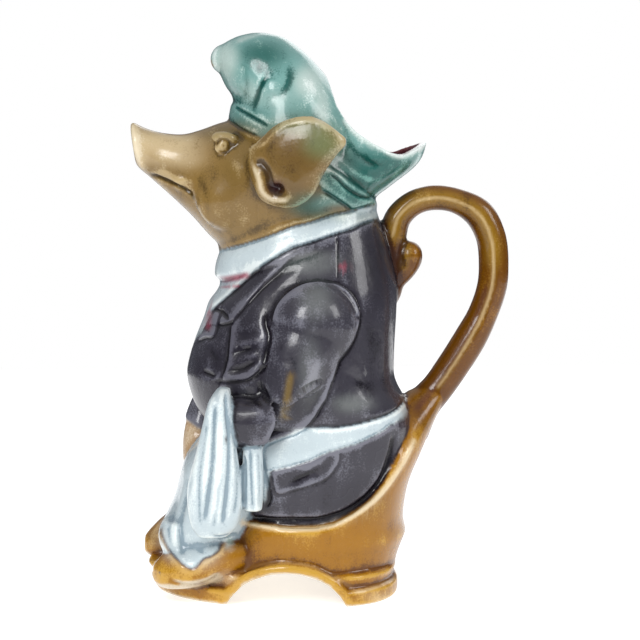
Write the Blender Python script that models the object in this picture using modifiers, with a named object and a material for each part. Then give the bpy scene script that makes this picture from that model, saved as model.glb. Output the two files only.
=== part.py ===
"""A glazed earthenware pitcher: a seated pig in jacket and apron, on an arched plinth.

The pig faces -X and its own left side faces -Y. The floor is z = 0. The body is one hollow
casting: its mouth is the open back of the hat, above the scroll handle.
"""

import math

import bmesh
import bpy
import numpy as np
from mathutils import Matrix, Vector

# Driving dimensions, in metres
FIGURE_HEIGHT = 0.236  # plate top to hat top; the free form's own numbers are shares of it
PLATE_HEIGHT = 0.014  # floor to the top of the plinth's plate
PLATE_FRONT = 0.0655  # plan, from the plate's centre to its front, at the floor
PLATE_FRONT_RAKE = 0.0070  # the front leans out by this much up to the shoes
PLATE_BACK = 0.0388  # plan, from the plate's centre to its back
PLATE_HALF_WIDTH = 0.0460
PLATE_CENTRE_X = -0.0045
FOOT_BAND_HEIGHT = 0.008
FOOT_BAND_PROUD = 0.0014
ARCH_SPAN = 0.0520
ARCH_RISE = 0.0152
ARCH_CENTRE_X = -0.0165
ARCH_FLARE = 0.0030  # each end of an arch turns out by this much at the floor
ARCH_BEAD = 0.0022  # radius of the roll that runs round each arch
FOOT_WALL = 0.0065  # plinth wall round the open recess below
FLOOR = 0.0055  # clay left over the recess in front of the seat
HIGH_RECESS_LENGTH = 0.064  # the recess goes higher under the seat
HIGH_RECESS_STEP = 0.0055  # plan, from the low recess's side to the high one's
HIGH_RECESS_CENTRE_X = -0.008
RECESS_DROP = 0.0012  # the top of the high recess lies this far below the arches'
FOOT_TRIM = 0.0003  # ground off the foot ring so that it stands flat
WALL = 0.0050
LIP_WALL = 0.0036  # round the hat's open back
HANDLE_LOW = 0.0074  # handle radii, foot to scroll
HANDLE_MIDDLE = 0.0068
HANDLE_TOP = 0.0057
SCROLL_RADIUS = 0.0060

# The free form: one unit is a 236th of the figure's height, and z is counted from the floor
# of a figure that stands on a plate 14 units high.
FIGURE_UNITS = 236.0
PLATE_UNITS = 14.0
UNIT = FIGURE_HEIGHT / FIGURE_UNITS

# Fineness of the fused clay surface
CLAY_VOXEL = 0.0013
SLIVER = 0.00001  # points nearer than this are one point once the cuts are made
CORE_VOXEL = 0.0026
CLAY_TRIANGLES = 7200
CORE_TRIANGLES = 1100

FLOOR_SLAB = 0.02  # thickness of the slab that trims the foot

NEAR = -1  # the side with the napkin
FAR = 1
BOTH = (NEAR, FAR)


def at(x, y, z):
    """A point of the figure, in metres, from its own units."""
    return Vector((x * UNIT, y * UNIT, PLATE_HEIGHT + (z - PLATE_UNITS) * UNIT))


def clear_scene():
    for obj in list(bpy.data.objects):
        bpy.data.objects.remove(obj, do_unlink=True)


def new_collection(name):
    collection = bpy.data.collections.new(name)
    bpy.context.scene.collection.children.link(collection)
    return collection


def new_object(name, mesh, collection):
    obj = bpy.data.objects.new(name, mesh)
    collection.objects.link(obj)
    return obj


def blend(rows, t):
    """Catmull-Rom through rows of numbers; t runs from 0 to len(rows) - 1."""
    last = len(rows) - 1
    i = min(int(t), last - 1)
    f = t - i
    p = [rows[min(max(i + k, 0), last)] for k in (-1, 0, 1, 2)]
    return [
        0.5 * (2 * b + (c - a) * f + (2 * a - 5 * b + 4 * c - d) * f**2 + (3 * (b - c) + d - a) * f**3)
        for a, b, c, d in zip(*p)
    ]


def superellipse(angle, power):
    """A point on the unit superellipse."""
    c, s = math.cos(angle), math.sin(angle)
    return (
        math.copysign(abs(c) ** (2 / power), c),
        math.copysign(abs(s) ** (2 / power), s),
    )


def skin(rings, mesh_name):
    """A closed mesh over rings of equally many points, with a fan at each end."""
    bm = bmesh.new()
    loops = [[bm.verts.new(p) for p in ring] for ring in rings]
    for low, high in zip(loops, loops[1:]):
        for i in range(len(low)):
            j = (i + 1) % len(low)
            bm.faces.new((low[i], low[j], high[j], high[i]))
    for loop in (loops[0], loops[-1]):
        hub = bm.verts.new(sum((v.co for v in loop), Vector()) / len(loop))
        for i in range(len(loop)):
            bm.faces.new((loop[i], loop[(i + 1) % len(loop)], hub))
    bmesh.ops.recalc_face_normals(bm, faces=bm.faces)
    mesh = bpy.data.meshes.new(mesh_name)
    bm.to_mesh(mesh)
    bm.free()
    return mesh


def loft(name, stations, collection, power=2.2, inset=0.0, sides=36, steps=5):
    """A form through stations (x, y, z, half depth, half width, tilt in degrees), in figure units.

    Tilt turns the depth direction from +X towards +Z. An inset, in metres, shrinks every
    section and draws both ends in, which gives the inside of a wall.
    """
    rings = []
    count = (len(stations) - 1) * steps
    for step in range(count + 1):
        x, y, z, depth, width, tilt = blend(stations, step / steps)
        centre = at(x, y, z)
        across = Vector((math.cos(math.radians(tilt)), 0, math.sin(math.radians(tilt))))
        depth = max(depth * UNIT - inset, 0.0004)
        width = max(width * UNIT - inset, 0.0004)
        ring = []
        for side in range(sides):
            a, b = superellipse(2 * math.pi * side / sides, power)
            ring.append(centre + across * (a * depth) + Vector((0, b * width, 0)))
        rings.append(ring)
    if inset:
        for end, inner in ((0, 1), (-1, -2)):
            middle = sum(rings[end], Vector()) / sides
            towards = sum(rings[inner], Vector()) / sides - middle
            if towards.length > 0:
                shift = towards.normalized() * inset
                rings[end] = [p + shift for p in rings[end]]
    return new_object(name, skin(rings, name), collection)


def mesh_object(name, bm, collection):
    mesh = bpy.data.meshes.new(name)
    bm.to_mesh(mesh)
    bm.free()
    return new_object(name, mesh, collection)


def ball(name, centre, radii, collection, turn=(0, 0, 0)):
    """An ellipsoid in figure units; turn is in degrees about X, Y and Z."""
    bm = bmesh.new()
    bmesh.ops.create_uvsphere(bm, u_segments=32, v_segments=20, radius=1)
    bmesh.ops.scale(bm, vec=[r * UNIT for r in radii], verts=bm.verts)
    angles = [math.radians(a) for a in turn]
    spin = Matrix.Rotation(angles[2], 3, "Z") @ Matrix.Rotation(angles[1], 3, "Y")
    spin = spin @ Matrix.Rotation(angles[0], 3, "X")
    bmesh.ops.rotate(bm, matrix=spin, verts=bm.verts)
    bmesh.ops.translate(bm, vec=at(*centre), verts=bm.verts)
    return mesh_object(name, bm, collection)


def mesh_from_curve(name, curve, collection, turn=None):
    """A curve made into a mesh whose caps are welded to its sides."""
    guide = new_object(name + "_guide", curve, collection)
    graph = bpy.context.evaluated_depsgraph_get()
    mesh = bpy.data.meshes.new_from_object(guide.evaluated_get(graph))
    if turn is not None:
        mesh.transform(turn)
    bm = bmesh.new()
    bm.from_mesh(mesh)
    bmesh.ops.remove_doubles(bm, verts=bm.verts, dist=0.00001)
    bmesh.ops.recalc_face_normals(bm, faces=bm.faces)
    bpy.data.objects.remove(guide, do_unlink=True)
    return mesh_object(name, bm, collection)


def rope(name, points, collection, steps=6):
    """A round tube through (place, radius) pairs in metres, with closed ends."""
    curve = bpy.data.curves.new(name, "CURVE")
    curve.dimensions = "3D"
    curve.bevel_depth = 1.0
    curve.bevel_resolution = 6
    curve.use_fill_caps = True
    spline = curve.splines.new("POLY")
    rows = [(*place, radius) for place, radius in points]
    count = (len(rows) - 1) * steps
    spline.points.add(count)
    for i in range(count + 1):
        x, y, z, radius = blend(rows, i / steps)
        spline.points[i].co = (x, y, z, 1)
        spline.points[i].radius = radius
    return mesh_from_curve(name, curve, collection)


def prism(name, outline, half_width, collection):
    """A side outline of figure points (x, z), extruded across the figure."""
    curve = bpy.data.curves.new(name, "CURVE")
    curve.dimensions = "2D"
    curve.fill_mode = "BOTH"
    curve.extrude = half_width
    spline = curve.splines.new("POLY")
    spline.use_cyclic_u = True
    spline.points.add(len(outline) - 1)
    for point, (x, z) in zip(spline.points, outline):
        place = at(x, 0, z)
        point.co = (place.x, place.z, 0, 1)
    upright = Matrix.Rotation(math.radians(90), 4, "X")
    return mesh_from_curve(name, curve, collection, upright)


def settle(obj):
    """Bakes an object's modifiers into its mesh."""
    graph = bpy.context.evaluated_depsgraph_get()
    mesh = bpy.data.meshes.new_from_object(obj.evaluated_get(graph))
    obj.modifiers.clear()
    obj.data = mesh


def fill_bubbles(obj):
    """Drops the small shells that forms enclose between them, and keeps the clay's skin."""
    bm = bmesh.new()
    bm.from_mesh(obj.data)
    seen = set()
    shells = []
    for start in bm.verts:
        if start in seen:
            continue
        seen.add(start)
        shell = [start]
        for vert in shell:
            for edge in vert.link_edges:
                other = edge.other_vert(vert)
                if other not in seen:
                    seen.add(other)
                    shell.append(other)
        shells.append(shell)
    for shell in sorted(shells, key=len)[:-1]:
        bmesh.ops.delete(bm, geom=shell, context="VERTS")
    bm.to_mesh(obj.data)
    bm.free()


def resurface(obj, voxel, smoothing):
    """A new even skin over the clay, which closes every fold and crossing in the old one."""
    remesh = obj.modifiers.new("skin", "REMESH")
    remesh.mode = "VOXEL"
    remesh.voxel_size = voxel
    remesh.adaptivity = 0.0
    smooth = obj.modifiers.new("smooth", "SMOOTH")
    smooth.factor = 0.5
    smooth.iterations = smoothing
    settle(obj)
    fill_bubbles(obj)


def fuse(name, forms, voxel, collection):
    """One skin round overlapping forms, smoothed where they meet."""
    bm = bmesh.new()
    for form in forms:
        bm.from_mesh(form.data)
        bpy.data.objects.remove(form, do_unlink=True)
    obj = mesh_object(name, bm, collection)
    resurface(obj, voxel, 2)
    return obj


def thin_out(obj, triangles):
    """Fewer triangles, kept where the form turns."""
    total = sum(len(p.vertices) - 2 for p in obj.data.polygons)
    decimate = obj.modifiers.new("thin", "DECIMATE")
    decimate.ratio = min(1.0, triangles / total)
    decimate.use_collapse_triangulate = True
    settle(obj)


def subtract(obj, cutter):
    """Cuts one mesh from another and keeps the cutter as a hidden wire helper.

    The manifold solver, because the exact one can lose the whole body where a cutter's face
    runs almost along the clay's own small triangles.
    """
    cutter.hide_render = True
    cutter.display_type = "WIRE"
    cut = obj.modifiers.new("cut " + cutter.name, "BOOLEAN")
    cut.operation = "DIFFERENCE"
    cut.solver = "MANIFOLD"
    cut.object = cutter


# Carving: strokes drawn on the side view, in figure units


def distance_to(path, x, z):
    """Distance of many side-view points to an open path."""
    best = np.full(x.shape, 1e9)
    for (ax, az), (bx, bz) in zip(path, path[1:]):
        dx, dz = bx - ax, bz - az
        t = np.clip(((x - ax) * dx + (z - az) * dz) / (dx * dx + dz * dz), 0, 1)
        best = np.minimum(best, np.hypot(x - ax - t * dx, z - az - t * dz))
    return best


def carve(obj, strokes):
    """Presses strokes (path, width, depth, sides) into the clay along its own normals.

    A stroke of negative depth raises the clay instead.
    """
    mesh = obj.data
    count = len(mesh.vertices)
    places = np.empty(count * 3)
    normals = np.empty(count * 3)
    mesh.vertices.foreach_get("co", places)
    mesh.vertex_normals.foreach_get("vector", normals)
    places = places.reshape(-1, 3)
    normals = normals.reshape(-1, 3)
    x = places[:, 0] / UNIT
    z = (places[:, 2] - PLATE_HEIGHT) / UNIT + PLATE_UNITS
    press = np.zeros(count)
    for path, width, depth, sides in strokes:
        near = distance_to(path, x, z) / width
        for side in sides:
            facing = np.clip(normals[:, 1] * side * 4 - 0.2, 0, 1)
            press += depth * UNIT * np.exp(-near * near) * facing
    mesh.vertices.foreach_set("co", (places - normals * press[:, None]).ravel())
    mesh.update()


STROKES = [
    # the mouth, the cheek and the throat
    ([(-77, 187), (-69, 184.5), (-60, 180), (-56.8, 176.5)], 2.0, 1.4, BOTH),
    ([(-54.1, 184.7), (-52.4, 179.4), (-51.1, 171.4)], 2.8, 1.3, BOTH),
    # the hat's soft top, its crease and the grooves beside its band
    ([(-31, 243), (-24, 237), (-17, 239)], 6.5, 1.8, BOTH),
    ([(-28.6, 224), (-30.7, 214)], 2.0, 1.5, BOTH),
    ([(-39.2, 216.5), (-33.2, 213), (-24, 207.7)], 2.0, 1.3, BOTH),
    ([(1.9, 187.3), (9.8, 181.3), (15.7, 177.6), (22, 176.7)], 2.0, 1.3, BOTH),
    # the hollow of the ear and the swelling round it
    ([(-26.7, 190.5), (-23.5, 186), (-24, 180), (-18.1, 179)], 3.6, 4.0, BOTH),
    ([(-17, 186), (-12, 196), (-4, 203)], 5.0, -1.4, BOTH),
    # below the collar and along the two edges of the lapel
    ([(-29.7, 146), (-14.9, 155), (2.7, 161), (21.8, 167.8)], 2.0, 1.1, BOTH),
    ([(-29.7, 146), (-38.1, 138.6), (-49.3, 128.6)], 2.0, 1.4, BOTH),
    ([(-13, 152.5), (-25.6, 141.3), (-37.1, 128.6), (-41.4, 124)], 2.0, 1.3, BOTH),
    ([(-24, 147), (-34, 137), (-43, 128)], 3.2, -1.0, BOTH),
    # the jacket's overlapping fronts and the creases across them
    ([(-40.8, 123), (-41.7, 114), (-42.3, 108), (-45.1, 99)], 2.0, 1.4, BOTH),
    ([(-45, 99.4), (-37.7, 99.2), (-30, 102)], 2.4, 1.8, BOTH),
    ([(-40, 106), (-29, 107)], 2.0, 0.9, BOTH),
    ([(-36, 118), (-33, 108), (-36, 102)], 4.5, -1.3, BOTH),
    # round the sleeve's head, down both its sides and the pit of the elbow
    ([(-26.3, 130), (-26.6, 123), (-25.5, 115), (-27.5, 106), (-30.2, 101)], 2.0, 1.5, BOTH),
    ([(-23, 126), (-20, 134), (-11, 140.6), (3.6, 140.5), (12, 133), (13.4, 124)], 2.0, 1.3, BOTH),
    ([(13.4, 124), (10, 115), (4.4, 107.5), (-0.6, 92.4), (-6.4, 82), (-14, 76.4)], 2.0, 1.4, BOTH),
    ([(-28.3, 97.5), (-25.8, 92.4), (-23.7, 88.5)], 2.8, 1.7, BOTH),
    # the jacket's hem, the apron's band and the pocket flap
    ([(-4, 78), (4.3, 78), (12.5, 79.2), (20.7, 81.3), (30.8, 86)], 2.0, 1.2, BOTH),
    ([(-24.8, 60), (-8.3, 64), (6, 69.7), (18.5, 74), (28, 80)], 2.0, 1.3, BOTH),
    ([(-26, 66), (-10, 70), (8, 74.5), (24, 79)], 2.6, -0.9, BOTH),
    ([(-21.9, 50.4), (-14.5, 51.6), (-0.5, 56.5), (4.9, 64.7)], 2.0, 1.0, BOTH),
    ([(-16, 56), (-6, 59)], 3.2, -1.0, BOTH),
    # between trousers and seat
    ([(29, 72), (27, 63), (22, 52.6), (10.7, 42.6), (-3.9, 37.6), (-32, 38.5)], 2.0, 1.9, BOTH),
    # folds of the hanging napkin, and the ridges between them
    ([(-48.4, 84), (-49.5, 61), (-51.9, 40)], 2.0, 2.4, (NEAR,)),
    ([(-43, 78), (-43.8, 54), (-45, 40)], 2.0, 2.2, (NEAR,)),
    ([(-46, 76), (-47, 56), (-48.5, 42)], 2.0, -1.2, (NEAR,)),
    ([(-35.6, 71), (-35.4, 45)], 2.0, 2.0, (NEAR,)),
    ([(-60, 54), (-60, 42), (-56, 33)], 2.0, 1.5, (NEAR,)),
    # folds of the apron
    ([(-62, 48), (-60.5, 30), (-60, 17)], 2.4, 1.6, BOTH),
    ([(-66, 42), (-67, 26)], 2.2, 1.3, BOTH),
]


# The forms, each a short function


def plate_half_width(x):
    """Half the plinth's width, in metres, at a place along it."""
    run = x - PLATE_CENTRE_X
    reach, power = (PLATE_BACK, 2.6) if run > 0 else (PLATE_FRONT, 1.95)
    return PLATE_HALF_WIDTH * max(0.0, 1 - (abs(run) / reach) ** power) ** (1 / power)


def plate_ring(z, grow, sides=72):
    """The plinth's plan at a height, grown or shrunk by a margin.

    It is longer in front, and longest under the shoes, where its raked front ends.
    """
    rise = min(max(z / PLATE_HEIGHT, 0), 1)
    front = PLATE_FRONT + PLATE_FRONT_RAKE * rise**0.6
    ring = []
    for side in range(sides):
        angle = 2 * math.pi * side / sides
        reach, power = (PLATE_BACK, 2.6) if math.cos(angle) > 0 else (front, 1.95)
        a, b = superellipse(angle, power)
        ring.append(Vector((PLATE_CENTRE_X + a * (reach + grow), b * (PLATE_HALF_WIDTH + grow), z)))
    return ring


def arch_line(grow, steps):
    """Points (x, z) over an arch from its back foot to its front one."""
    line = []
    for i in range(steps + 1):
        angle = math.pi * i / steps
        run, rise = math.cos(angle), math.sin(angle)
        flare = math.copysign(ARCH_FLARE * (1 - rise) ** 2, run)
        x = ARCH_CENTRE_X + (ARCH_SPAN / 2 - ARCH_FLARE + grow) * run + flare
        line.append((x, (ARCH_RISE + grow) * rise))
    return line


def plinth(clay):
    """The plate with its foot band, and a roll round each arch."""
    proud = FOOT_BAND_PROUD
    edge = 0.0012
    plate = skin(
        [
            plate_ring(0, proud - edge),
            plate_ring(edge, proud),
            plate_ring(FOOT_BAND_HEIGHT - edge, proud),
            plate_ring(FOOT_BAND_HEIGHT, -proud),
            plate_ring(PLATE_HEIGHT - edge, proud / 2),
            plate_ring(PLATE_HEIGHT, -edge),
        ],
        "plate",
    )
    forms = [new_object("plate", plate, clay)]
    for side in BOTH:
        roll = []
        for x, z in arch_line(ARCH_BEAD, 12):
            place = Vector((x, side * plate_half_width(x), max(z, ARCH_BEAD)))
            roll.append((place, ARCH_BEAD))
        forms.append(rope("arch_roll", roll, clay))
    return forms


def seat(clay, helpers):
    """The moulded seat, cut along the rim that rises to the handle."""
    rows = [
        # z, front x, back x, half width
        (8, -52, 34, 44),
        (16, -50, 35.8, 44.5),
        (22, -48.5, 37.9, 45),
        (27, -47, 39.7, 45.8),
        (34, -44, 38.6, 46),
        (45, -36, 40, 45.4),
        (53, -28, 42.4, 43),
        (62, -16, 46.6, 37),
        (70, -2, 50.2, 28.5),
        (78, 14, 54, 19),
        (84, 30, 57.2, 12),
        (91, 46.5, 60.6, 6),
    ]
    stations = [((f + b) / 2, 0, z, (b - f) / 2, w, 0) for z, f, b, w in rows]
    block = loft("seat", stations, clay, power=2.3, steps=4)
    rim = [(-36, 37), (-28.4, 35.7), (-18, 34.3), (-4, 34.3), (4.3, 36), (12.6, 40.2)]
    rim += [(20.9, 46.4), (27.1, 53.4), (33.3, 63), (37.5, 72), (40, 80), (41, 90)]
    cutter = prism("seat_rim", [(-90, 37)] + rim + [(-90, 90)], 2 * PLATE_HALF_WIDTH, helpers)
    subtract(block, cutter)
    settle(block)
    return [block]


def torso_stations():
    rows = [
        # front x, back x, z, half width, tilt
        (-50, 40.5, 80, 45.5, 5),
        (-55, 38.5, 86, 46.2, 3),
        (-57.8, 36, 92, 46.2, 1),
        (-59, 34.4, 98, 46, 0),
        (-57.6, 34.3, 106, 45.5, 0),
        (-54.6, 34.7, 115, 44.5, 0),
        (-51.2, 35.4, 125, 42.5, 2),
        (-49, 35.6, 134, 40, 5),
        (-45.2, 33, 144, 36.5, 11),
        (-45, 30, 154, 33, 16),
        (-44.5, 27, 164, 30.5, 17),
    ]
    return [((f + b) / 2, 0, z, (b - f) / 2, w, t) for f, b, z, w, t in rows]


def hip_stations():
    rows = [
        (-36, 30, 29, 35),
        (-43, 35.5, 37, 41.5),
        (-49, 38.5, 48, 44),
        (-51, 41, 60, 45),
        (-50, 43, 72, 44.8),
        (-48, 42, 80, 43.8),
        (-44, 38, 88, 40),
    ]
    return [((f + b) / 2, 0, z, (b - f) / 2, w, 0) for f, b, z, w in rows]


def torso(clay):
    return [
        loft("torso", torso_stations(), clay, power=2.3),
        loft("hips", hip_stations(), clay, power=2.3),
    ]


def lap(clay):
    """Thighs, and the apron that falls over the knees to a corner by the near shoe."""
    forms = []
    for side in BOTH:
        thigh = [
            (0, side * 24, 56, 19, 19, 90),
            (-25, side * 24, 57, 19, 19, 92),
            (-44, side * 20, 54, 15, 17, 95),
            (-54, side * 18, 51, 7, 10, 98),
        ]
        forms.append(loft("thigh", thigh, clay, power=2.0))
    apron = [
        (-31, 0, 72, 23, 35, 12),
        (-36.5, 0, 62, 24, 37, 9),
        (-40.3, 0, 52, 22.5, 37, 5),
        (-43, -1, 43, 21.8, 37, 2),
        (-46, -2, 35, 22, 36, 0),
        (-49, -3, 29, 21.5, 34, 0),
        (-51.5, -6, 23, 17, 28, 0),
    ]
    corner = [
        (-61, -17, 35, 8.5, 14, 0),
        (-61.5, -20, 29.5, 10.5, 13, 0),
        (-61.5, -24, 24, 9.5, 10.5, 0),
        (-60.5, -27.5, 18, 6.5, 7, 0),
        (-59.5, -30, 14, 2.4, 3, 0),
    ]
    forms.append(loft("apron", apron, clay, power=2.4))
    forms.append(loft("apron_corner", corner, clay, power=2.1))
    return forms


def shoes(clay):
    far_shoe = [
        (-48, 16, 26, 12.6, 12, 90),
        (-60, 16, 24.4, 11.8, 12.8, 90),
        (-68.8, 15.5, 21, 9.8, 12, 90),
        (-75, 15, 18.4, 7, 9.6, 90),
        (-78.9, 14.5, 17.4, 3.6, 4.8, 90),
    ]
    near_shoe = [
        (-24, -24, 21, 8, 10, 90),
        (-40, -28, 20, 9, 12, 90),
        (-53, -31, 17, 9, 13, 88),
        (-63, -31, 15.2, 8.6, 12, 86),
        (-70.5, -29, 14, 6.8, 9.4, 86),
        (-74.5, -27, 13.5, 3, 4.6, 86),
    ]
    hem = [
        (-54, -4, 11, 12, 26, 0),
        (-55, -4, 18, 12, 26, 0),
        (-55, -4, 25, 11, 24, 0),
    ]
    return [
        loft("far_shoe", far_shoe, clay, power=2.3),
        loft("near_shoe", near_shoe, clay, power=2.3),
        loft("hem_between_shoes", hem, clay, power=2.2),
    ]


def arms(clay):
    forms = []
    for side in BOTH:
        forms.append(ball("shoulder", (-5, side * 34.5, 122.5), (19.5, 17, 19), clay))
    near_arm = [
        (-5, -35, 127, 18, 14, 0),
        (-8.5, -38, 113, 17, 14.8, 0),
        (-12, -40, 101, 15.8, 14.2, 8),
        (-14, -42, 91, 14.5, 13, 30),
        (-20, -43, 84, 12.4, 11.6, 65),
        (-29, -43.5, 81.6, 11, 10.8, 88),
        (-39, -42.5, 81, 10.4, 10.5, 97),
    ]
    far_arm = [
        (-5, 35, 127, 18, 14, 0),
        (-10, 38, 113, 17, 14.8, -6),
        (-18, 40, 101, 15.5, 14, -16),
        (-29, 39, 91, 13.5, 12.5, -38),
        (-41, 34, 84, 12, 11.5, -60),
        (-48.8, 28, 77.5, 10.3, 10.5, -52),
        (-52.2, 24.5, 70, 9.2, 9.8, -30),
    ]
    hand = [
        (-52.4, 24, 72, 7.4, 8, -20),
        (-55, 22.5, 63, 6.2, 8.6, -8),
        (-56, 21, 54, 4.8, 7.6, 0),
        (-56, 20, 48, 2.5, 4.5, 0),
    ]
    forms.append(loft("near_sleeve", near_arm, clay, power=2.1))
    forms.append(loft("far_sleeve", far_arm, clay, power=2.1))
    forms.append(loft("far_hand", hand, clay, power=2.1))
    return forms


def napkin(clay):
    """A cloth over the near forearm, hanging in long folds, with its second bunch behind."""
    front = [
        (-43, -46, 97, 2.5, 4, 0),
        (-45, -48, 91, 4.8, 6.5, 0),
        (-46, -49.5, 80, 6.8, 6.5, 0),
        (-46.6, -49.5, 68, 9, 6.5, 0),
        (-47.4, -49, 55, 11.6, 6.6, 0),
        (-47.4, -48, 45, 11.6, 6.6, 0),
        (-47.6, -46.5, 37, 10, 5.6, 0),
        (-48.5, -45, 32, 6, 4.5, 0),
    ]
    bunch = [
        (-31, -45, 74, 4, 4, 0),
        (-31, -46.5, 64, 4.4, 4.6, 0),
        (-31, -46.5, 53, 4.6, 4.6, 0),
        (-30.8, -44.5, 43, 3.8, 3.8, 0),
    ]
    return [
        loft("napkin", front, clay, power=2.6),
        loft("napkin_bunch", bunch, clay, power=2.4),
    ]


def collar(clay):
    band = [
        (-10.4, 0, 150.5, 36.4, 33.2, 15),
        (-10, 0, 152.5, 37.6, 34.6, 15.5),
        (-9.8, 0, 157, 37.6, 33.6, 16),
        (-9.4, 0, 161.5, 36.8, 32, 16.5),
        (-9.2, 0, 163.5, 35.6, 30.6, 16.7),
    ]
    return [loft("collar", band, clay, power=2.15, steps=3)]


def head_stations():
    return [
        (-82.4, 0, 200.6, 8.2, 10.2, 98),
        (-80.9, 0, 200.1, 10.3, 12, 98),
        (-75.2, 0, 196.4, 11.4, 11.6, 97),
        (-68, 0, 192.1, 13.8, 12.8, 97),
        (-58.4, 0, 187.1, 18.1, 16.8, 96),
        (-49.4, 0, 182.8, 24.5, 22, 96),
        (-39.8, 0, 181, 29.6, 28.2, 95),
        (-27, 0, 182.5, 30.8, 33.4, 93),
        (-10, 0, 185, 29, 35.4, 92),
        (8, 0, 185, 23, 32, 90),
        (20, 0, 182, 13, 23, 90),
    ]


def neck_stations():
    return [
        (-9.5, 0, 159, 35.5, 31, 16.5),
        (-9.6, 0, 169, 36, 31, 10),
        (-7, 0, 181, 33, 31.5, -10),
        (-6, 0, 193, 32, 32, -25),
    ]


def head(clay):
    forms = [
        loft("head", head_stations(), clay, power=2.1),
        loft("neck", neck_stations(), clay, power=2.1),
    ]
    for side in BOTH:
        ear = [
            (-32, side * 32.5, 195.5, 4, 3, 90),
            (-28, side * 35.5, 190, 12, 4.4, 90),
            (-20.5, side * 38.5, 191.2, 17.6, 5, 90),
            (-12, side * 41, 192.8, 19.2, 5, 90),
            (-5, side * 42.5, 195.2, 16.8, 4.8, 90),
            (0, side * 43.5, 199, 11, 4.2, 90),
            (5, side * 44, 200.8, 5.4, 3.2, 90),
            (9.2, side * 43.5, 201.4, 1.6, 1.8, 90),
        ]
        forms += [
            ball("cheek", (-40, side * 19.2, 176.5), (14.5, 9.2, 13.5), clay),
            ball("lip", (-60, side * 11, 183.2), (6, 5, 4), clay, turn=(0, 28, 0)),
            ball("brow", (-42, side * 22, 203), (6, 4.6, 3), clay, turn=(0, 10, 0)),
            ball("eye", (-43.9, side * 24, 199), (2.8, 2.4, 2.6), clay),
            loft("ear", ear, clay, power=2.0),
        ]
    return forms


def crown_stations():
    return [
        (-8.5, 0, 193, 37, 36, -32),
        (-8.6, 0, 201, 34.6, 35.2, -29),
        (-9.4, 0, 210, 29.8, 33.5, -18),
        (-12.5, 0, 219, 26.2, 31, -8),
        (-17.6, 0, 227.5, 24, 28.5, 0),
        (-23, 0, 236.5, 22, 24.5, 0),
        (-26, 0, 243.5, 17.6, 18.5, 0),
        (-26, 0, 248, 10.8, 11.4, 0),
        (-26.3, 0, 250, 3, 3.5, 0),
    ]


def lip_stations():
    """The hat's back, drawn out to the pouring lip and carried up past the rim's cut."""
    return [
        (3, 0, 179.4, 21, 28, -20),
        (3.6, 0, 184.2, 23.6, 30, -18),
        (6.5, 0, 189, 28.3, 30.5, -12),
        (11, 0, 195.4, 34.9, 28.5, -4),
        (12.7, 0, 202, 37, 25.5, 3),
        (14, 0, 211, 38, 21.5, 6),
        (13, 0, 219, 34, 18.5, 6),
        (12, 0, 226, 30, 12.5, 6),
    ]


def hat(clay):
    band = [
        (-8.8, 0, 187, 36.6, 36, -33),
        (-8, 0, 188.8, 38.4, 37.6, -33),
        (-5.6, 0, 193.8, 38.6, 37.8, -33),
        (-4.8, 0, 195.4, 36.8, 36.2, -33),
    ]
    return [
        loft("hat_band", band, clay, power=2.1, steps=3),
        loft("hat_crown", crown_stations(), clay, power=2.1),
        loft("hat_lip", lip_stations(), clay, power=2.0),
        ball("hat_knob", (-40.8, 0, 238.4), (7, 10, 6.8), clay),
    ]


def handle(clay):
    """One strap from the seat's back, over and down to a scroll against the pig's back."""
    line = [
        ((43, 69), HANDLE_LOW),
        ((48, 82), HANDLE_LOW * 1.06),
        ((55, 90.6), HANDLE_LOW),
        ((62, 100.6), HANDLE_LOW),
        ((69.7, 112.9), HANDLE_LOW),
        ((75.4, 124.1), HANDLE_MIDDLE),
        ((79.5, 136.7), HANDLE_MIDDLE),
        ((80.1, 149), HANDLE_MIDDLE),
        ((78.5, 159.8), HANDLE_MIDDLE),
        ((73, 169.6), HANDLE_MIDDLE),
        ((63, 175.2), HANDLE_TOP),
        ((52.5, 176.7), HANDLE_TOP),
        ((43.4, 174.2), HANDLE_TOP),
        ((36.6, 168), HANDLE_TOP * 1.05),
        ((34.2, 160), HANDLE_TOP * 1.08),
        ((33.4, 150), HANDLE_TOP),
        ((34, 141), HANDLE_TOP * 0.95),
        ((33.5, 133), HANDLE_TOP * 0.75),
        ((31, 126), HANDLE_TOP * 0.4),
    ]
    scroll = [
        ((34.5, 139), SCROLL_RADIUS * 0.8),
        ((38.4, 144.4), SCROLL_RADIUS),
        ((41.4, 149), SCROLL_RADIUS),
        ((41.6, 151.6), SCROLL_RADIUS * 0.95),
    ]
    return [
        rope("handle", [(at(x, 0, z), r) for (x, z), r in line], clay),
        rope("scroll", [(at(x, 0, z), r) for (x, z), r in scroll], clay),
        ball("scroll_end", (41.6, 0, 150.6), (6, 7, 6.6), clay),
    ]


# The cutters


def vessel_inside(helpers):
    """The hollow of the casting: the main forms again, a wall smaller, fused into one core."""
    forms = [
        loft("core_torso", torso_stations(), helpers, power=2.3, inset=WALL),
        loft("core_hips", hip_stations(), helpers, power=2.3, inset=WALL),
        loft("core_neck", neck_stations(), helpers, power=2.1, inset=WALL),
        loft("core_head", head_stations()[4:], helpers, power=2.1, inset=WALL),
        loft("core_crown", crown_stations()[:-1], helpers, power=2.1, inset=WALL),
        loft("core_lip", lip_stations()[1:], helpers, power=2.0, inset=LIP_WALL),
    ]
    core = fuse("core", forms, CORE_VOXEL, helpers)
    thin_out(core, CORE_TRIANGLES)
    return core


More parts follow.
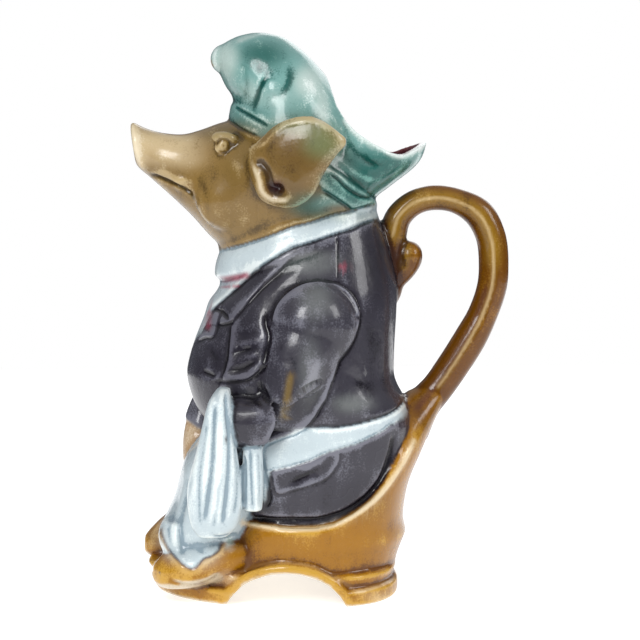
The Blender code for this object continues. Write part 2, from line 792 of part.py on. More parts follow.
def mouth_cutter(helpers):
    """Everything above the rim of the hat's open back.

    The rim dips at the sides, more on the near one, and stands up at the pouring lip.
    """
    crest = [(2.4, 238), (3.4, 231), (5.4, 224.5), (7.5, 217.6), (11.5, 210.9), (16, 206.3)]
    crest += [(22.4, 202), (31.8, 199), (38.4, 200.6), (45.3, 201.2), (52, 202)]
    dip = [(2.4, 238), (3.4, 231), (5, 224.5), (7.1, 217.2), (11.2, 210.4), (15.5, 205.7)]
    dip += [(22.4, 200.9), (31.2, 196.6), (36, 195), (41, 196.6), (47, 200)]
    outer = [(90, 220), (90, 270), (2, 270)]
    rings = []
    for y, share in ((-60, 1), (-26, 1), (-18, 0.9), (-9, 0.35), (0, 0), (9, 0.2), (18, 0.6), (60, 0.7)):
        side = [(a + (c - a) * share, b + (d - b) * share) for (a, b), (c, d) in zip(crest, dip)]
        rings.append([at(x, y, z) for x, z in side + outer])
    return new_object("mouth", skin(rings, "mouth"), helpers)


def recess(helpers):
    """The open hollow under the plinth: low in front, and higher in the middle of the seat."""
    low_top = PLATE_HEIGHT - FLOOR
    high_top = ARCH_RISE - RECESS_DROP
    rings = [
        plate_ring(-FLOOR, -FOOT_WALL),
        plate_ring(low_top * 0.7, -FOOT_WALL),
        plate_ring(low_top * 0.93, -FOOT_WALL * 1.3),
        plate_ring(low_top, -FOOT_WALL * 2.0),
    ]
    sides = len(rings[0])
    for share, narrowed in ((0.06, 0), (0.7, 0.003), (1, 0.009)):
        depth = HIGH_RECESS_LENGTH / 2 - narrowed
        width = PLATE_HALF_WIDTH - FOOT_WALL - HIGH_RECESS_STEP - narrowed
        z = low_top + (high_top - low_top) * share
        ring = []
        for side in range(sides):
            a, b = superellipse(2 * math.pi * side / sides, 2.4)
            ring.append(Vector((HIGH_RECESS_CENTRE_X + a * depth, b * width, z)))
        rings.append(ring)
    return new_object("recess", skin(rings, "recess"), helpers)


def arch_cutter(helpers):
    """A flared tunnel through both long sides of the plinth."""
    line = arch_line(0, 40)
    line += [(line[-1][0], -FLOOR), (line[0][0], -FLOOR)]
    rings = [[Vector((x, y * PLATE_HALF_WIDTH, z)) for x, z in line] for y in (-2, 2)]
    return new_object("arch", skin(rings, "arch"), helpers)


def floor_cutter(helpers):
    """Trims the clay flat where it stands."""
    bm = bmesh.new()
    bmesh.ops.create_cube(bm, size=1)
    bmesh.ops.scale(bm, vec=(FIGURE_HEIGHT * 2, FIGURE_HEIGHT * 2, FLOOR_SLAB), verts=bm.verts)
    bmesh.ops.translate(bm, vec=(0, 0, FOOT_TRIM - FLOOR_SLAB / 2), verts=bm.verts)
    return mesh_object("floor", bm, helpers)


def close_slivers(obj):
    """Joins the points that cuts leave within a hair of each other."""
    weld = obj.modifiers.new("close slivers", "WELD")
    weld.merge_threshold = SLIVER
    settle(obj)


def glaze():
    material = bpy.data.materials.new("glazed earthenware")
    material.use_nodes = True
    shader = material.node_tree.nodes["Principled BSDF"]
    shader.inputs["Base Color"].default_value = (0.33, 0.22, 0.09, 1)
    shader.inputs["Roughness"].default_value = 0.16
    shader.inputs["Metallic"].default_value = 0.0
    return material


def centre_on_floor(obj):
    """Puts the middle of the object's plan at the origin and its feet on z = 0."""
    places = np.empty(len(obj.data.vertices) * 3)
    obj.data.vertices.foreach_get("co", places)
    places = places.reshape(-1, 3)
    low, high = places.min(axis=0), places.max(axis=0)
    shift = Vector((-(low[0] + high[0]) / 2, -(low[1] + high[1]) / 2, -low[2]))
    obj.data.transform(Matrix.Translation(shift))


def main():
    clear_scene()
    parts = new_collection("pig pitcher")
    helpers = new_collection("cutters")
    forms = plinth(parts) + seat(parts, helpers) + torso(parts) + lap(parts) + shoes(parts)
    forms += arms(parts) + napkin(parts) + collar(parts) + head(parts) + hat(parts)
    forms += handle(parts)
    pitcher = fuse("pitcher", forms, CLAY_VOXEL, parts)
    carve(pitcher, STROKES)
    resurface(pitcher, CLAY_VOXEL, 0)
    thin_out(pitcher, CLAY_TRIANGLES)
    for cutter in (
        mouth_cutter(helpers),
        vessel_inside(helpers),
        recess(helpers),
        arch_cutter(helpers),
        floor_cutter(helpers),
    ):
        subtract(pitcher, cutter)
    settle(pitcher)
    close_slivers(pitcher)
    centre_on_floor(pitcher)
    pitcher.data.materials.clear()
    pitcher.data.materials.append(glaze())
    pitcher.data.shade_smooth()
    pitcher.data.set_sharp_from_angle(angle=math.radians(40))


main()
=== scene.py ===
# %% [markdown]
# A glazed earthenware pitcher: a seated pig in a soft hat, jacket and apron, with a scroll
# handle behind. The real one was cast in a mould, its seams were sponged off, and coloured
# glazes were brushed on thickly before a second firing. So the shape is soft clay, and every
# crisp line is a mark pressed into it. This script follows the same order: the clay forms,
# the hollow and the mouth, the tooled lines, then the glazes.

import math

import bmesh
import bpy
import numpy as np
from mathutils import Matrix, Vector
from mathutils.bvhtree import BVHTree
from mathutils.kdtree import KDTree


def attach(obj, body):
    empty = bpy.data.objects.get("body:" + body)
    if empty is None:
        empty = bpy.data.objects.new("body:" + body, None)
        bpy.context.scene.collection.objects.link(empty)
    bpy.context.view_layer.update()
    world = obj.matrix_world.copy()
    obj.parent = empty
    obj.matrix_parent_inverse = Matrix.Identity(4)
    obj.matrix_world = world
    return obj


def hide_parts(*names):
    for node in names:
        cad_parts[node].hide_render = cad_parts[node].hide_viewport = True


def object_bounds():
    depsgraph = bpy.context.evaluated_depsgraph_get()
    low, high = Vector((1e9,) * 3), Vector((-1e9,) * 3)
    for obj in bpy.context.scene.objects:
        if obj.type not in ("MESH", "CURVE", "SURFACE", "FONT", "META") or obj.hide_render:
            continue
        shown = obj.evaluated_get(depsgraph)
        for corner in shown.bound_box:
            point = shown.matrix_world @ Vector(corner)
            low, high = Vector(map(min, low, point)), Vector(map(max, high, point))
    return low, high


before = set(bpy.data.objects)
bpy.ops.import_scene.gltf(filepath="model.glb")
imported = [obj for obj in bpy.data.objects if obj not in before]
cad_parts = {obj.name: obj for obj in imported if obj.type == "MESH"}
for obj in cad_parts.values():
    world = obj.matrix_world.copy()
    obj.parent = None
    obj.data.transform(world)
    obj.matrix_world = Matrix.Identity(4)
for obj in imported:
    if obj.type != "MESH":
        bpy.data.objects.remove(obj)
solid_low, solid_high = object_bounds()
print("solid box", [round(v, 4) for v in solid_low], [round(v, 4) for v in solid_high])

# %% [markdown]
# The photograph was taken level with the head and slightly from the snout's side. Fitting a
# camera to the outline gives its distance, height and lens, and that camera does two jobs
# here: it takes the picture, and it turns a pixel of the photograph into a line through the
# clay, so grooves and glaze edges can be drawn where the photograph has them.

# %% The photograph's camera
PHOTO_SIZE = 640
FIGURE_ZERO = Vector((-0.001713, 0.001031, -0.0003))  # the figure's own zero in the solid's frame
PHOTO_ZERO = FIGURE_ZERO + Vector((0.00113, 0, 0.00045))  # the point at which the camera's aim is set
CAMERA_DISTANCE = 0.850
CAMERA_HEIGHT = 0.193
CAMERA_AZIMUTH = math.radians(-4)
LOOKS_AT_HEIGHT = 0.1211
LENS_PIXELS = 1886.4  # focal length in pixels of the photograph
SENSOR = 36.0
NEAREST_SEEN = 0.01

camera_place = PHOTO_ZERO + Vector(
    (
        CAMERA_DISTANCE * math.sin(CAMERA_AZIMUTH),
        -CAMERA_DISTANCE * math.cos(CAMERA_AZIMUTH),
        CAMERA_HEIGHT,
    )
)
camera_target = PHOTO_ZERO + Vector((0, 0, LOOKS_AT_HEIGHT))
view_axis = (camera_target - camera_place).normalized()
view_right = view_axis.cross(Vector((0, 0, 1))).normalized()
view_up = view_right.cross(view_axis)

camera = bpy.data.objects.new("camera", bpy.data.cameras.new("camera"))
camera.data.sensor_width = SENSOR
camera.data.lens = LENS_PIXELS * SENSOR / PHOTO_SIZE
camera.data.clip_start = NEAREST_SEEN
camera.location = camera_place
camera.rotation_euler = view_axis.to_track_quat("-Z", "Y").to_euler()
bpy.context.scene.collection.objects.link(camera)
bpy.context.scene.camera = camera
print("lens", round(camera.data.lens, 2), "mm")

# %% [markdown]
# The same camera works as a ruler. A place on the clay is projected to the pixel at which the
# photograph shows it. The figure's far side can't be seen, so it is mirrored over the middle
# first and then read in the same picture.

# %% From clay to photograph pixels
def photo_points(places):
    """Pixels (u, v) at which the photograph's camera sees an array of places."""
    away = places - np.array(camera_place)
    depth = away @ np.array(view_axis)
    u = PHOTO_SIZE / 2 + LENS_PIXELS * (away @ np.array(view_right)) / depth
    v = PHOTO_SIZE / 2 - LENS_PIXELS * (away @ np.array(view_up)) / depth
    return u, v


def mirrored(places):
    """The same places on the figure's other side."""
    flipped = places.copy()
    flipped[:, 1] = 2 * FIGURE_ZERO.y - flipped[:, 1]
    return flipped


zero_u, zero_v = photo_points(np.array([FIGURE_ZERO]))
print("figure zero at pixel", round(float(zero_u[0]), 1), round(float(zero_v[0]), 1))

# %% [markdown]
# The figure is described in its own units, a 236th of its height, here one millimetre. The
# plinth keeps a height of its own, so the figure can be made taller without a thicker foot.
# Working in units lets every station below be a plain number that was measured once.

# %% Units of the figure
FIGURE_HEIGHT = 0.236
FIGURE_UNITS = 236.0
UNIT = FIGURE_HEIGHT / FIGURE_UNITS
PLATE_HEIGHT = 0.014
PLATE_UNITS = 14.0


def at(x, y, z):
    """A point of the figure, in metres, from its own units."""
    height = PLATE_HEIGHT + (z - PLATE_UNITS) * UNIT
    return FIGURE_ZERO + Vector((x * UNIT, y * UNIT, height))


print("one unit is", round(1000 * UNIT, 3), "mm")

# %% [markdown]
# Modelled clay has no hard corners along its length, so rows of measured numbers are joined by
# a Catmull-Rom curve, which passes through every one of them. Sections are superellipses: a
# power of 2 is an oval, and a higher power makes the oval squarer, as a cushion is.

# %% Soft curves and soft ovals
def blend(rows, t):
    """Catmull-Rom through rows of numbers; t runs from 0 to len(rows) - 1."""
    last = len(rows) - 1
    i = min(int(t), last - 1)
    f = t - i
    p = [rows[min(max(i + k, 0), last)] for k in (-1, 0, 1, 2)]
    return [
        0.5 * (2 * b + (c - a) * f + (2 * a - 5 * b + 4 * c - d) * f**2 + (3 * (b - c) + d - a) * f**3)
        for a, b, c, d in zip(*p)
    ]


def superellipse(angle, power):
    """A point on the unit superellipse."""
    c, s = math.cos(angle), math.sin(angle)
    return (
        math.copysign(abs(c) ** (2 / power), c),
        math.copysign(abs(s) ** (2 / power), s),
    )


print("half way along a soft row", blend([(0,), (1,), (1,)], 0.5))

# %% [markdown]
# Every form of the pig is a closed mesh over a row of rings. Blender could also skin curves
# with a bevel, but rings of points give full control over depth, width and tilt at each place.
# The forms are filed by the part of the figure, because glazes later follow those parts.

# %% A skin over rings
forms = {}  # every clay form, by the part of the figure that it belongs to


def keep_form(part, name, mesh):
    """Links a form's mesh and files it under its part of the figure."""
    obj = bpy.data.objects.new(name, mesh)
    bpy.context.scene.collection.objects.link(obj)
    forms.setdefault(part, []).append(obj)
    return obj


def skin(rings, name):
    """A closed mesh over rings of equally many points, with a fan at each end."""
    bm = bmesh.new()
    loops = [[bm.verts.new(p) for p in ring] for ring in rings]
    for low, high in zip(loops, loops[1:]):
        for i in range(len(low)):
            j = (i + 1) % len(low)
            bm.faces.new((low[i], low[j], high[j], high[i]))
    for loop in (loops[0], loops[-1]):
        hub = bm.verts.new(sum((v.co for v in loop), Vector()) / len(loop))
        for i in range(len(loop)):
            bm.faces.new((loop[i], loop[(i + 1) % len(loop)], hub))
    bmesh.ops.recalc_face_normals(bm, faces=bm.faces)
    mesh = bpy.data.meshes.new(name)
    bm.to_mesh(mesh)
    bm.free()
    return mesh


print("parts of the figure so far", len(forms))

# %% [markdown]
# Most masses are lofts: a row of soft ovals, each with a centre, a half depth, a half width
# and a tilt. Lofts suit cast clay, because a mould maker models full, rounded masses first
# and cuts detail into them later.

# %% Lofts
LOFT_SIDES = 72
LOFT_STEPS = 8
THINNEST = 0.0004  # no section shrinks below this, in metres


def loft(part, name, stations, power=2.2, inset=0.0):
    """A form through stations (x, y, z, half depth, half width, tilt in degrees).

    Tilt turns the depth direction from +X towards +Z. An inset, in metres, shrinks every
    section and draws both ends in, which gives the inside of a wall.
    """
    rings = []
    for step in range((len(stations) - 1) * LOFT_STEPS + 1):
        x, y, z, depth, width, tilt = blend(stations, step / LOFT_STEPS)
        centre = at(x, y, z)
        across = Vector((math.cos(math.radians(tilt)), 0, math.sin(math.radians(tilt))))
        depth = max(depth * UNIT - inset, THINNEST)
        width = max(width * UNIT - inset, THINNEST)
        ring = []
        for side in range(LOFT_SIDES):
            a, b = superellipse(2 * math.pi * side / LOFT_SIDES, power)
            ring.append(centre + across * (a * depth) + Vector((0, b * width, 0)))
        rings.append(ring)
    if inset:
        for end, inner in ((0, 1), (-1, -2)):
            middle = sum(rings[end], Vector()) / LOFT_SIDES
            towards = sum(rings[inner], Vector()) / LOFT_SIDES - middle
            if towards.length > 0:
                shift = towards.normalized() * inset
                rings[end] = [p + shift for p in rings[end]]
    return keep_form(part, name, skin(rings, name))


print("points round a loft", LOFT_SIDES)

# %% [markdown]
# Knobs, cheeks and shoulders start as balls that are scaled and turned. The handle and the
# rolls over the arches are ropes: a round section that follows a row of points and turns
# with it, as a coil of clay does when it is laid along a line.

# %% Balls and ropes
BALL_SEGMENTS = 48
BALL_RINGS = 32


def ball(part, name, centre, radii, turn=(0, 0, 0)):
    """An ellipsoid in figure units; turn is in degrees about X, Y and Z."""
    bm = bmesh.new()
    bmesh.ops.create_uvsphere(bm, u_segments=BALL_SEGMENTS, v_segments=BALL_RINGS, radius=1)
    bmesh.ops.scale(bm, vec=[r * UNIT for r in radii], verts=bm.verts)
    angles = [math.radians(a) for a in turn]
    spin = Matrix.Rotation(angles[2], 3, "Z") @ Matrix.Rotation(angles[1], 3, "Y")
    spin = spin @ Matrix.Rotation(angles[0], 3, "X")
    bmesh.ops.rotate(bm, matrix=spin, verts=bm.verts)
    bmesh.ops.translate(bm, vec=at(*centre), verts=bm.verts)
    mesh = bpy.data.meshes.new(name)
    bm.to_mesh(mesh)
    bm.free()
    return keep_form(part, name, mesh)


def rope(part, name, points, sides=40, steps=10):
    """A round strap through points ((x, y, z), radius in metres)."""
    rows = [(at(x, y, z).x, at(x, y, z).y, at(x, y, z).z, r) for (x, y, z), r in points]
    count = (len(rows) - 1) * steps
    track = [blend(rows, i / steps) for i in range(count + 1)]
    rings = []
    for i, (x, y, z, radius) in enumerate(track):
        ahead = Vector(track[min(i + 1, count)][:3]) - Vector(track[max(i - 1, 0)][:3])
        ahead.normalize()
        side_way = Vector((0, 1, 0))
        out_way = ahead.cross(side_way).normalized()
        ring = []
        for side in range(sides):
            a, b = superellipse(2 * math.pi * side / sides, 2.0)
            ring.append(Vector((x, y, z)) + out_way * (a * radius) + side_way * (b * radius))
        rings.append(ring)
    return keep_form(part, name, skin(rings, name))


print("faces round a ball", BALL_SEGMENTS * BALL_RINGS)

# %% [markdown]
# The plinth is an oval plate, longer under the shoes, with a proud band round its foot. An
# arch opens on each side, and a roll of clay follows it. The plan is drawn as two half
# superellipses that meet at the plate's middle, because its two ends differ in reach.

# %% The plan of the plinth
PLATE_FRONT = 0.0655
PLATE_FRONT_RAKE = 0.0070
PLATE_RAKE_POWER = 0.6
PLATE_FRONT_POWER = 1.95
PLATE_BACK = 0.0388
PLATE_BACK_POWER = 2.6
PLATE_HALF_WIDTH = 0.0460
PLATE_CENTRE_X = -0.0045


def plate_half_width(x):
    """Half the plinth's width, in metres, at a place along it."""
    run = x - PLATE_CENTRE_X
    reach, power = (PLATE_BACK, PLATE_BACK_POWER) if run > 0 else (PLATE_FRONT, PLATE_FRONT_POWER)
    return PLATE_HALF_WIDTH * max(0.0, 1 - (abs(run) / reach) ** power) ** (1 / power)


def plate_ring(z, grow, sides=144):
    """The plinth's plan at a height, grown or shrunk by a margin; its front is raked."""
    rise = min(max(z / PLATE_HEIGHT, 0), 1)
    front = PLATE_FRONT + PLATE_FRONT_RAKE * rise**PLATE_RAKE_POWER
    ring = []
    for side in range(sides):
        angle = 2 * math.pi * side / sides
        if math.cos(angle) > 0:
            reach, power = PLATE_BACK, PLATE_BACK_POWER
        else:
            reach, power = front, PLATE_FRONT_POWER
        a, b = superellipse(angle, power)
        place = Vector((PLATE_CENTRE_X + a * (reach + grow), b * (PLATE_HALF_WIDTH + grow), z))
        ring.append(FIGURE_ZERO + place)
    return ring


print("half width at the middle", round(1000 * plate_half_width(PLATE_CENTRE_X), 1), "mm")

# %% [markdown]
# The plate itself is a stack of these plans, proud at the foot and drawn in above the band.
# The arch's line is half a circle that flares at its feet, as a mould needs it to let go of
# the clay. The rolls are ropes laid along that line on both sides.

# %% Plinth
FOOT_BAND_HEIGHT = 0.008
FOOT_BAND_PROUD = 0.0014
PLATE_EDGE = 0.0012
ARCH_SPAN = 0.0520
ARCH_RISE = 0.0152
ARCH_CENTRE_X = -0.0165
ARCH_FLARE = 0.0030
ARCH_BEAD = 0.0022
ROLL_STEPS = 24
NEAR = -1
FAR = 1
BOTH = (NEAR, FAR)


def arch_line(grow, steps):
    """Points (x, z) over an arch from its back foot to its front one."""
    line = []
    for i in range(steps + 1):
        angle = math.pi * i / steps
        run, rise = math.cos(angle), math.sin(angle)
        flare = math.copysign(ARCH_FLARE * (1 - rise) ** 2, run)
        x = ARCH_CENTRE_X + (ARCH_SPAN / 2 - ARCH_FLARE + grow) * run + flare
        line.append((x, (ARCH_RISE + grow) * rise))
    return line


def make_plinth():
    proud = FOOT_BAND_PROUD
    edge = PLATE_EDGE
    rings = [
        plate_ring(0, proud - edge),
        plate_ring(edge, proud),
        plate_ring(FOOT_BAND_HEIGHT - edge, proud),
        plate_ring(FOOT_BAND_HEIGHT, -proud),
        plate_ring(PLATE_HEIGHT - edge, proud / 2),
        plate_ring(PLATE_HEIGHT, -edge),
    ]
    keep_form("plinth", "plate", skin(rings, "plate"))
    for side in BOTH:
        roll = []
        for x, z in arch_line(ARCH_BEAD, ROLL_STEPS):
            height = (max(z, ARCH_BEAD) - PLATE_HEIGHT) / UNIT + PLATE_UNITS
            roll.append(((x / UNIT, side * plate_half_width(x) / UNIT, height), ARCH_BEAD))
        rope("plinth", "arch_roll", roll, sides=16, steps=2)


make_plinth()
print("plinth forms", len(forms["plinth"]))

# %% [markdown]
# The seat rises from the plinth as one swept block that leans back under the handle. A
# cutter, drawn in side view, takes away everything above its rim, which climbs towards the
# handle. A boolean is the plain way to get one clean edge all round such a block.

# %% Seat
SEAT_RIM = [
    (-36, 37), (-28.4, 35.7), (-18, 34.3), (-4, 34.3), (4.3, 36), (12.6, 40.2),
    (20.9, 46.4), (27.1, 53.4), (33.3, 63), (37.5, 72), (40, 80), (41, 90),
]
CUTTER_FRONT = -90
CUTTER_TOP = 90
CUTTER_HALF_WIDTH = 70


def settle(obj):
    """Bakes an object's modifiers into its mesh."""
    graph = bpy.context.evaluated_depsgraph_get()
    mesh = bpy.data.meshes.new_from_object(obj.evaluated_get(graph))
    obj.modifiers.clear()
    obj.data = mesh


def make_seat():
    rows = [
        # z, front x, back x, half width
        (8, -52, 34, 44),
        (16, -50, 35.8, 44.5),
        (22, -48.5, 37.9, 45),
        (27, -47, 39.7, 45.8),
        (34, -44, 38.6, 46),
        (45, -36, 40, 45.4),
        (53, -28, 42.4, 43),
        (62, -16, 46.6, 37),
        (70, -2, 50.2, 28.5),
        (78, 14, 54, 19),
        (84, 30, 57.2, 12),
        (91, 46.5, 60.6, 6),
    ]
    stations = [((f + b) / 2, 0, z, (b - f) / 2, w, 0) for z, f, b, w in rows]
    seat = loft("seat", "seat", stations, power=2.3)
    outline = [(CUTTER_FRONT, 37)] + SEAT_RIM + [(CUTTER_FRONT, CUTTER_TOP)]
    ends = (-CUTTER_HALF_WIDTH, CUTTER_HALF_WIDTH)
    rings = [[at(x, y, z) for x, z in outline] for y in ends]
    cutter = bpy.data.objects.new("seat_cutter", skin(rings, "seat_cutter"))
    bpy.context.scene.collection.objects.link(cutter)
    cut = seat.modifiers.new("rim", "BOOLEAN")
    cut.operation = "DIFFERENCE"
    cut.solver = "EXACT"
    cut.object = cutter
    settle(seat)
    bpy.data.objects.remove(cutter, do_unlink=True)


make_seat()
print("seat faces", len(forms["seat"][0].data.polygons))

# %% [markdown]
# The body is one barrel of belly, back and shoulders over broad hips. Thighs come forward
# under the apron, and the apron's cloth hangs over them to a corner beside the near shoe.
# Two broad lofts make the trunk, so that its waist falls where they meet.

# %% Body, lap and apron
def torso_stations():
    rows = [
        # front x, back x, z, half width, tilt
        (-50, 40.5, 80, 45.5, 5),
        (-55, 38.5, 86, 46.2, 3),
        (-57.8, 36, 92, 46.2, 1),
        (-59, 34.4, 98, 46, 0),
        (-57.6, 34.3, 106, 45.5, 0),
        (-54.6, 34.7, 115, 44.5, 0),
        (-51.2, 35.4, 125, 42.5, 2),
        (-49, 35.6, 134, 40, 5),
        (-45.2, 33, 144, 36.5, 11),
        (-45, 30, 154, 33, 16),
        (-44.5, 27, 164, 30.5, 17),
    ]
    return [((f + b) / 2, 0, z, (b - f) / 2, w, t) for f, b, z, w, t in rows]


def hip_stations():
    rows = [
        (-36, 30, 29, 35),
        (-43, 35.5, 37, 41.5),
        (-49, 38.5, 48, 44),
        (-51, 41, 60, 45),
        (-50, 43, 72, 44.8),
        (-48, 42, 80, 43.8),
        (-44, 38, 88, 40),
    ]
    return [((f + b) / 2, 0, z, (b - f) / 2, w, 0) for f, b, z, w in rows]


def make_body():
    loft("body", "torso", torso_stations(), power=2.3)
    loft("body", "hips", hip_stations(), power=2.3)
    for side in BOTH:
        thigh = [
            (0, side * 24, 56, 19, 19, 90),
            (-25, side * 24, 57, 19, 19, 92),
            (-44, side * 20, 54, 15, 17, 95),
            (-54, side * 18, 51, 7, 10, 98),
        ]
        loft("body", "thigh", thigh, power=2.0)
    apron = [
        (-31, 0, 72, 23, 35, 12),
        (-36.5, 0, 62, 24, 37, 9),
        (-40.3, 0, 52, 22.5, 37, 5),
        (-43, -1, 43, 21.8, 37, 2),
        (-46, -2, 35, 22, 36, 0),
        (-49, -3, 29, 21.5, 34, 0),
        (-51.5, -6, 23, 17, 28, 0),
    ]
    corner = [
        (-61, -17, 35, 8.5, 14, 0),
        (-61.5, -20, 29.5, 10.5, 13, 0),
        (-61.5, -24, 24, 9.5, 10.5, 0),
        (-60.5, -27.5, 18, 6.5, 7, 0),
        (-59.5, -30, 14, 2.4, 3, 0),
    ]
    loft("apron", "apron", apron, power=2.4)
    loft("apron", "apron_corner", corner, power=2.1)
    hem = [
        (-54, -4, 11, 12, 26, 0),
        (-55, -4, 18, 12, 26, 0),
        (-55, -4, 25, 11, 24, 0),
    ]
    loft("plinth", "hem_between_shoes", hem, power=2.2)


make_body()
print("body forms", len(forms["body"]), "apron forms", len(forms["apron"]))

# %% [markdown]
# The shoes point forward, side by side, and the near one reaches lower, over the plinth's
# edge. Each is a short loft that lies down: its tilt is close to 90 degrees, so the half
# depth of a station is the height of the shoe.

# %% Shoes
def make_shoes():
    far_shoe = [
        (-48, 16, 26, 12.6, 12, 90),
        (-60, 16, 24.4, 11.8, 12.8, 90),
        (-68.8, 15.5, 21, 9.8, 12, 90),
        (-75, 15, 18.4, 7, 9.6, 90),
        (-78.9, 14.5, 17.4, 3.6, 4.8, 90),
    ]
    near_shoe = [
        (-24, -24, 21, 8, 10, 90),
        (-40, -28, 20, 9, 12, 90),
        (-53, -31, 17, 9, 13, 88),
        (-63, -31, 15.2, 8.6, 12, 86),
        (-70.5, -29, 14, 6.8, 9.4, 86),
        (-74.5, -27, 13.5, 3, 4.6, 86),
    ]
    loft("far_shoe", "far_shoe", far_shoe, power=2.3)
    loft("near_shoe", "near_shoe", near_shoe, power=2.3)


make_shoes()
print("shoe forms", len(forms["near_shoe"]) + len(forms["far_shoe"]))

# %% [markdown]
# Both arms bend to the lap, and the far hand rests on the knee. A sleeve is one loft from the
# shoulder to the wrist, whose stations tilt as the arm bends, so the elbow stays round.

# %% Arms and hand
def make_arms():
    for side in BOTH:
        ball("arm", "shoulder", (-5, side * 34.5, 122.5), (19.5, 17, 19))
    near_arm = [
        (-5, -35, 127, 18, 14, 0),
        (-8.5, -38, 113, 17, 14.8, 0),
        (-12, -40, 101, 15.8, 14.2, 8),
        (-14, -42, 91, 14.5, 13, 30),
        (-20, -43, 84, 12.4, 11.6, 65),
        (-29, -43.5, 81.6, 11, 10.8, 88),
        (-39, -42.5, 81, 10.4, 10.5, 97),
    ]
    far_arm = [
        (-5, 35, 127, 18, 14, 0),
        (-10, 38, 113, 17, 14.8, -6),
        (-18, 40, 101, 15.5, 14, -16),
        (-29, 39, 91, 13.5, 12.5, -38),
        (-41, 34, 84, 12, 11.5, -60),
        (-48.8, 28, 77.5, 10.3, 10.5, -52),
        (-52.2, 24.5, 70, 9.2, 9.8, -30),
    ]
    hand = [
        (-52.4, 24, 72, 7.4, 8, -20),
        (-55, 22.5, 63, 6.2, 8.6, -8),
        (-56, 21, 54, 4.8, 7.6, 0),
        (-56, 20, 48, 2.5, 4.5, 0),
    ]
    loft("arm", "near_sleeve", near_arm, power=2.1)
    loft("arm", "far_sleeve", far_arm, power=2.1)
    loft("hand", "far_hand", hand, power=2.1)


make_arms()
print("arm forms", len(forms["arm"]))

# %% [markdown]
# The near forearm carries a napkin that hangs in long tapering folds, with a second, narrower
# bunch behind it. The masses are lofted here, and the folds are pressed in later.

# %% Napkin
def make_napkin():
    front = [
        (-43, -46, 97, 2.5, 4, 0),
        (-45, -48, 91, 4.8, 6.5, 0),
        (-46, -49.5, 80, 6.8, 6.5, 0),
        (-46.6, -49.5, 68, 9, 6.5, 0),
        (-47.4, -49, 55, 11.6, 6.6, 0),
        (-47.4, -48, 45, 11.6, 6.6, 0),
        (-47.6, -46.5, 37, 10, 5.6, 0),
        (-48.5, -45, 32, 6, 4.5, 0),
    ]
    bunch = [
        (-31, -45, 74, 4, 4, 0),
        (-31, -46.5, 64, 4.4, 4.6, 0),
        (-31, -46.5, 53, 4.6, 4.6, 0),
        (-30.8, -44.5, 43, 3.8, 3.8, 0),
    ]
    loft("napkin", "napkin", front, power=2.6)
    loft("napkin", "napkin_bunch", bunch, power=2.4)


make_napkin()
print("napkin forms", len(forms["napkin"]))

# %% [markdown]
# The head runs in one long taper from the collar to the flat disc of the snout. The ears are
# separate flaps that stand off the cheeks, and a mould maker would have pressed their
# hollows afterwards, so here they start solid too.

# %% Collar, head and ears
def head_stations():
    return [
        (-82.4, 0, 200.6, 8.2, 10.2, 98),
        (-80.9, 0, 200.1, 10.3, 12, 98),
        (-75.2, 0, 196.4, 11.4, 11.6, 97),
        (-68, 0, 192.1, 13.8, 12.8, 97),
        (-58.4, 0, 187.1, 18.1, 16.8, 96),
        (-49.4, 0, 182.8, 24.5, 22, 96),
        (-39.8, 0, 181, 29.6, 28.2, 95),
        (-27, 0, 182.5, 30.8, 33.4, 93),
        (-10, 0, 185, 29, 35.4, 92),
        (8, 0, 185, 23, 32, 90),
        (20, 0, 182, 13, 23, 90),
    ]


def neck_stations():
    return [
        (-9.5, 0, 159, 35.5, 31, 16.5),
        (-9.6, 0, 169, 36, 31, 10),
        (-7, 0, 181, 33, 31.5, -10),
        (-6, 0, 193, 32, 32, -25),
    ]


def make_head():
    band = [
        (-10.4, 0, 150.5, 36.4, 33.2, 15),
        (-10, 0, 152.5, 37.6, 34.6, 15.5),
        (-9.8, 0, 157, 37.6, 33.6, 16),
        (-9.4, 0, 161.5, 36.8, 32, 16.5),
        (-9.2, 0, 163.5, 35.6, 30.6, 16.7),
    ]
    loft("collar", "collar", band, power=2.15)
    loft("head", "head", head_stations(), power=2.1)
    loft("head", "neck", neck_stations(), power=2.1)
    for side in BOTH:
        ball("head", "cheek", (-40, side * 19.2, 176.5), (14.5, 9.2, 13.5))
        ball("head", "lip", (-60, side * 11, 183.2), (6, 5, 4), turn=(0, 28, 0))
        ball("head", "brow", (-42, side * 22, 203), (6, 4.6, 3), turn=(0, 10, 0))
        ball("head", "eye", (-43.9, side * 24, 199), (2.8, 2.4, 2.6))
        ear = [
            (-32, side * 32.5, 195.5, 4, 3, 90),
            (-28, side * 35.5, 190, 12, 4.4, 90),
            (-20.5, side * 38.5, 191.2, 17.6, 5, 90),
            (-12, side * 41, 192.8, 19.2, 5, 90),
            (-5, side * 42.5, 195.2, 16.8, 4.8, 90),
            (0, side * 43.5, 199, 11, 4.2, 90),
            (5, side * 44, 200.8, 5.4, 3.2, 90),
            (9.2, side * 43.5, 201.4, 1.6, 1.8, 90),
        ]
        loft("ear", "ear", ear, power=2.0)


make_head()
print("head forms", len(forms["head"]))

# %% [markdown]
# The hat is soft: a band round the head, a crown that leans forward to a knob, and a back
# drawn out to the pouring lip. It stays closed on top, and the pitcher fills and pours
# through the opening behind the crown.

# %% Hat
def crown_stations():
    return [
        (-8.5, 0, 193, 37, 36, -32),
        (-8.6, 0, 201, 34.6, 35.2, -29),
        (-9.4, 0, 210, 29.8, 33.5, -18),
        (-12.5, 0, 219, 26.2, 31, -8),
        (-17.6, 0, 227.5, 24, 28.5, 0),
        (-23, 0, 236.5, 22, 24.5, 0),
        (-26, 0, 243.5, 17.6, 18.5, 0),
        (-26, 0, 248, 10.8, 11.4, 0),
        (-26.3, 0, 250, 3, 3.5, 0),
    ]


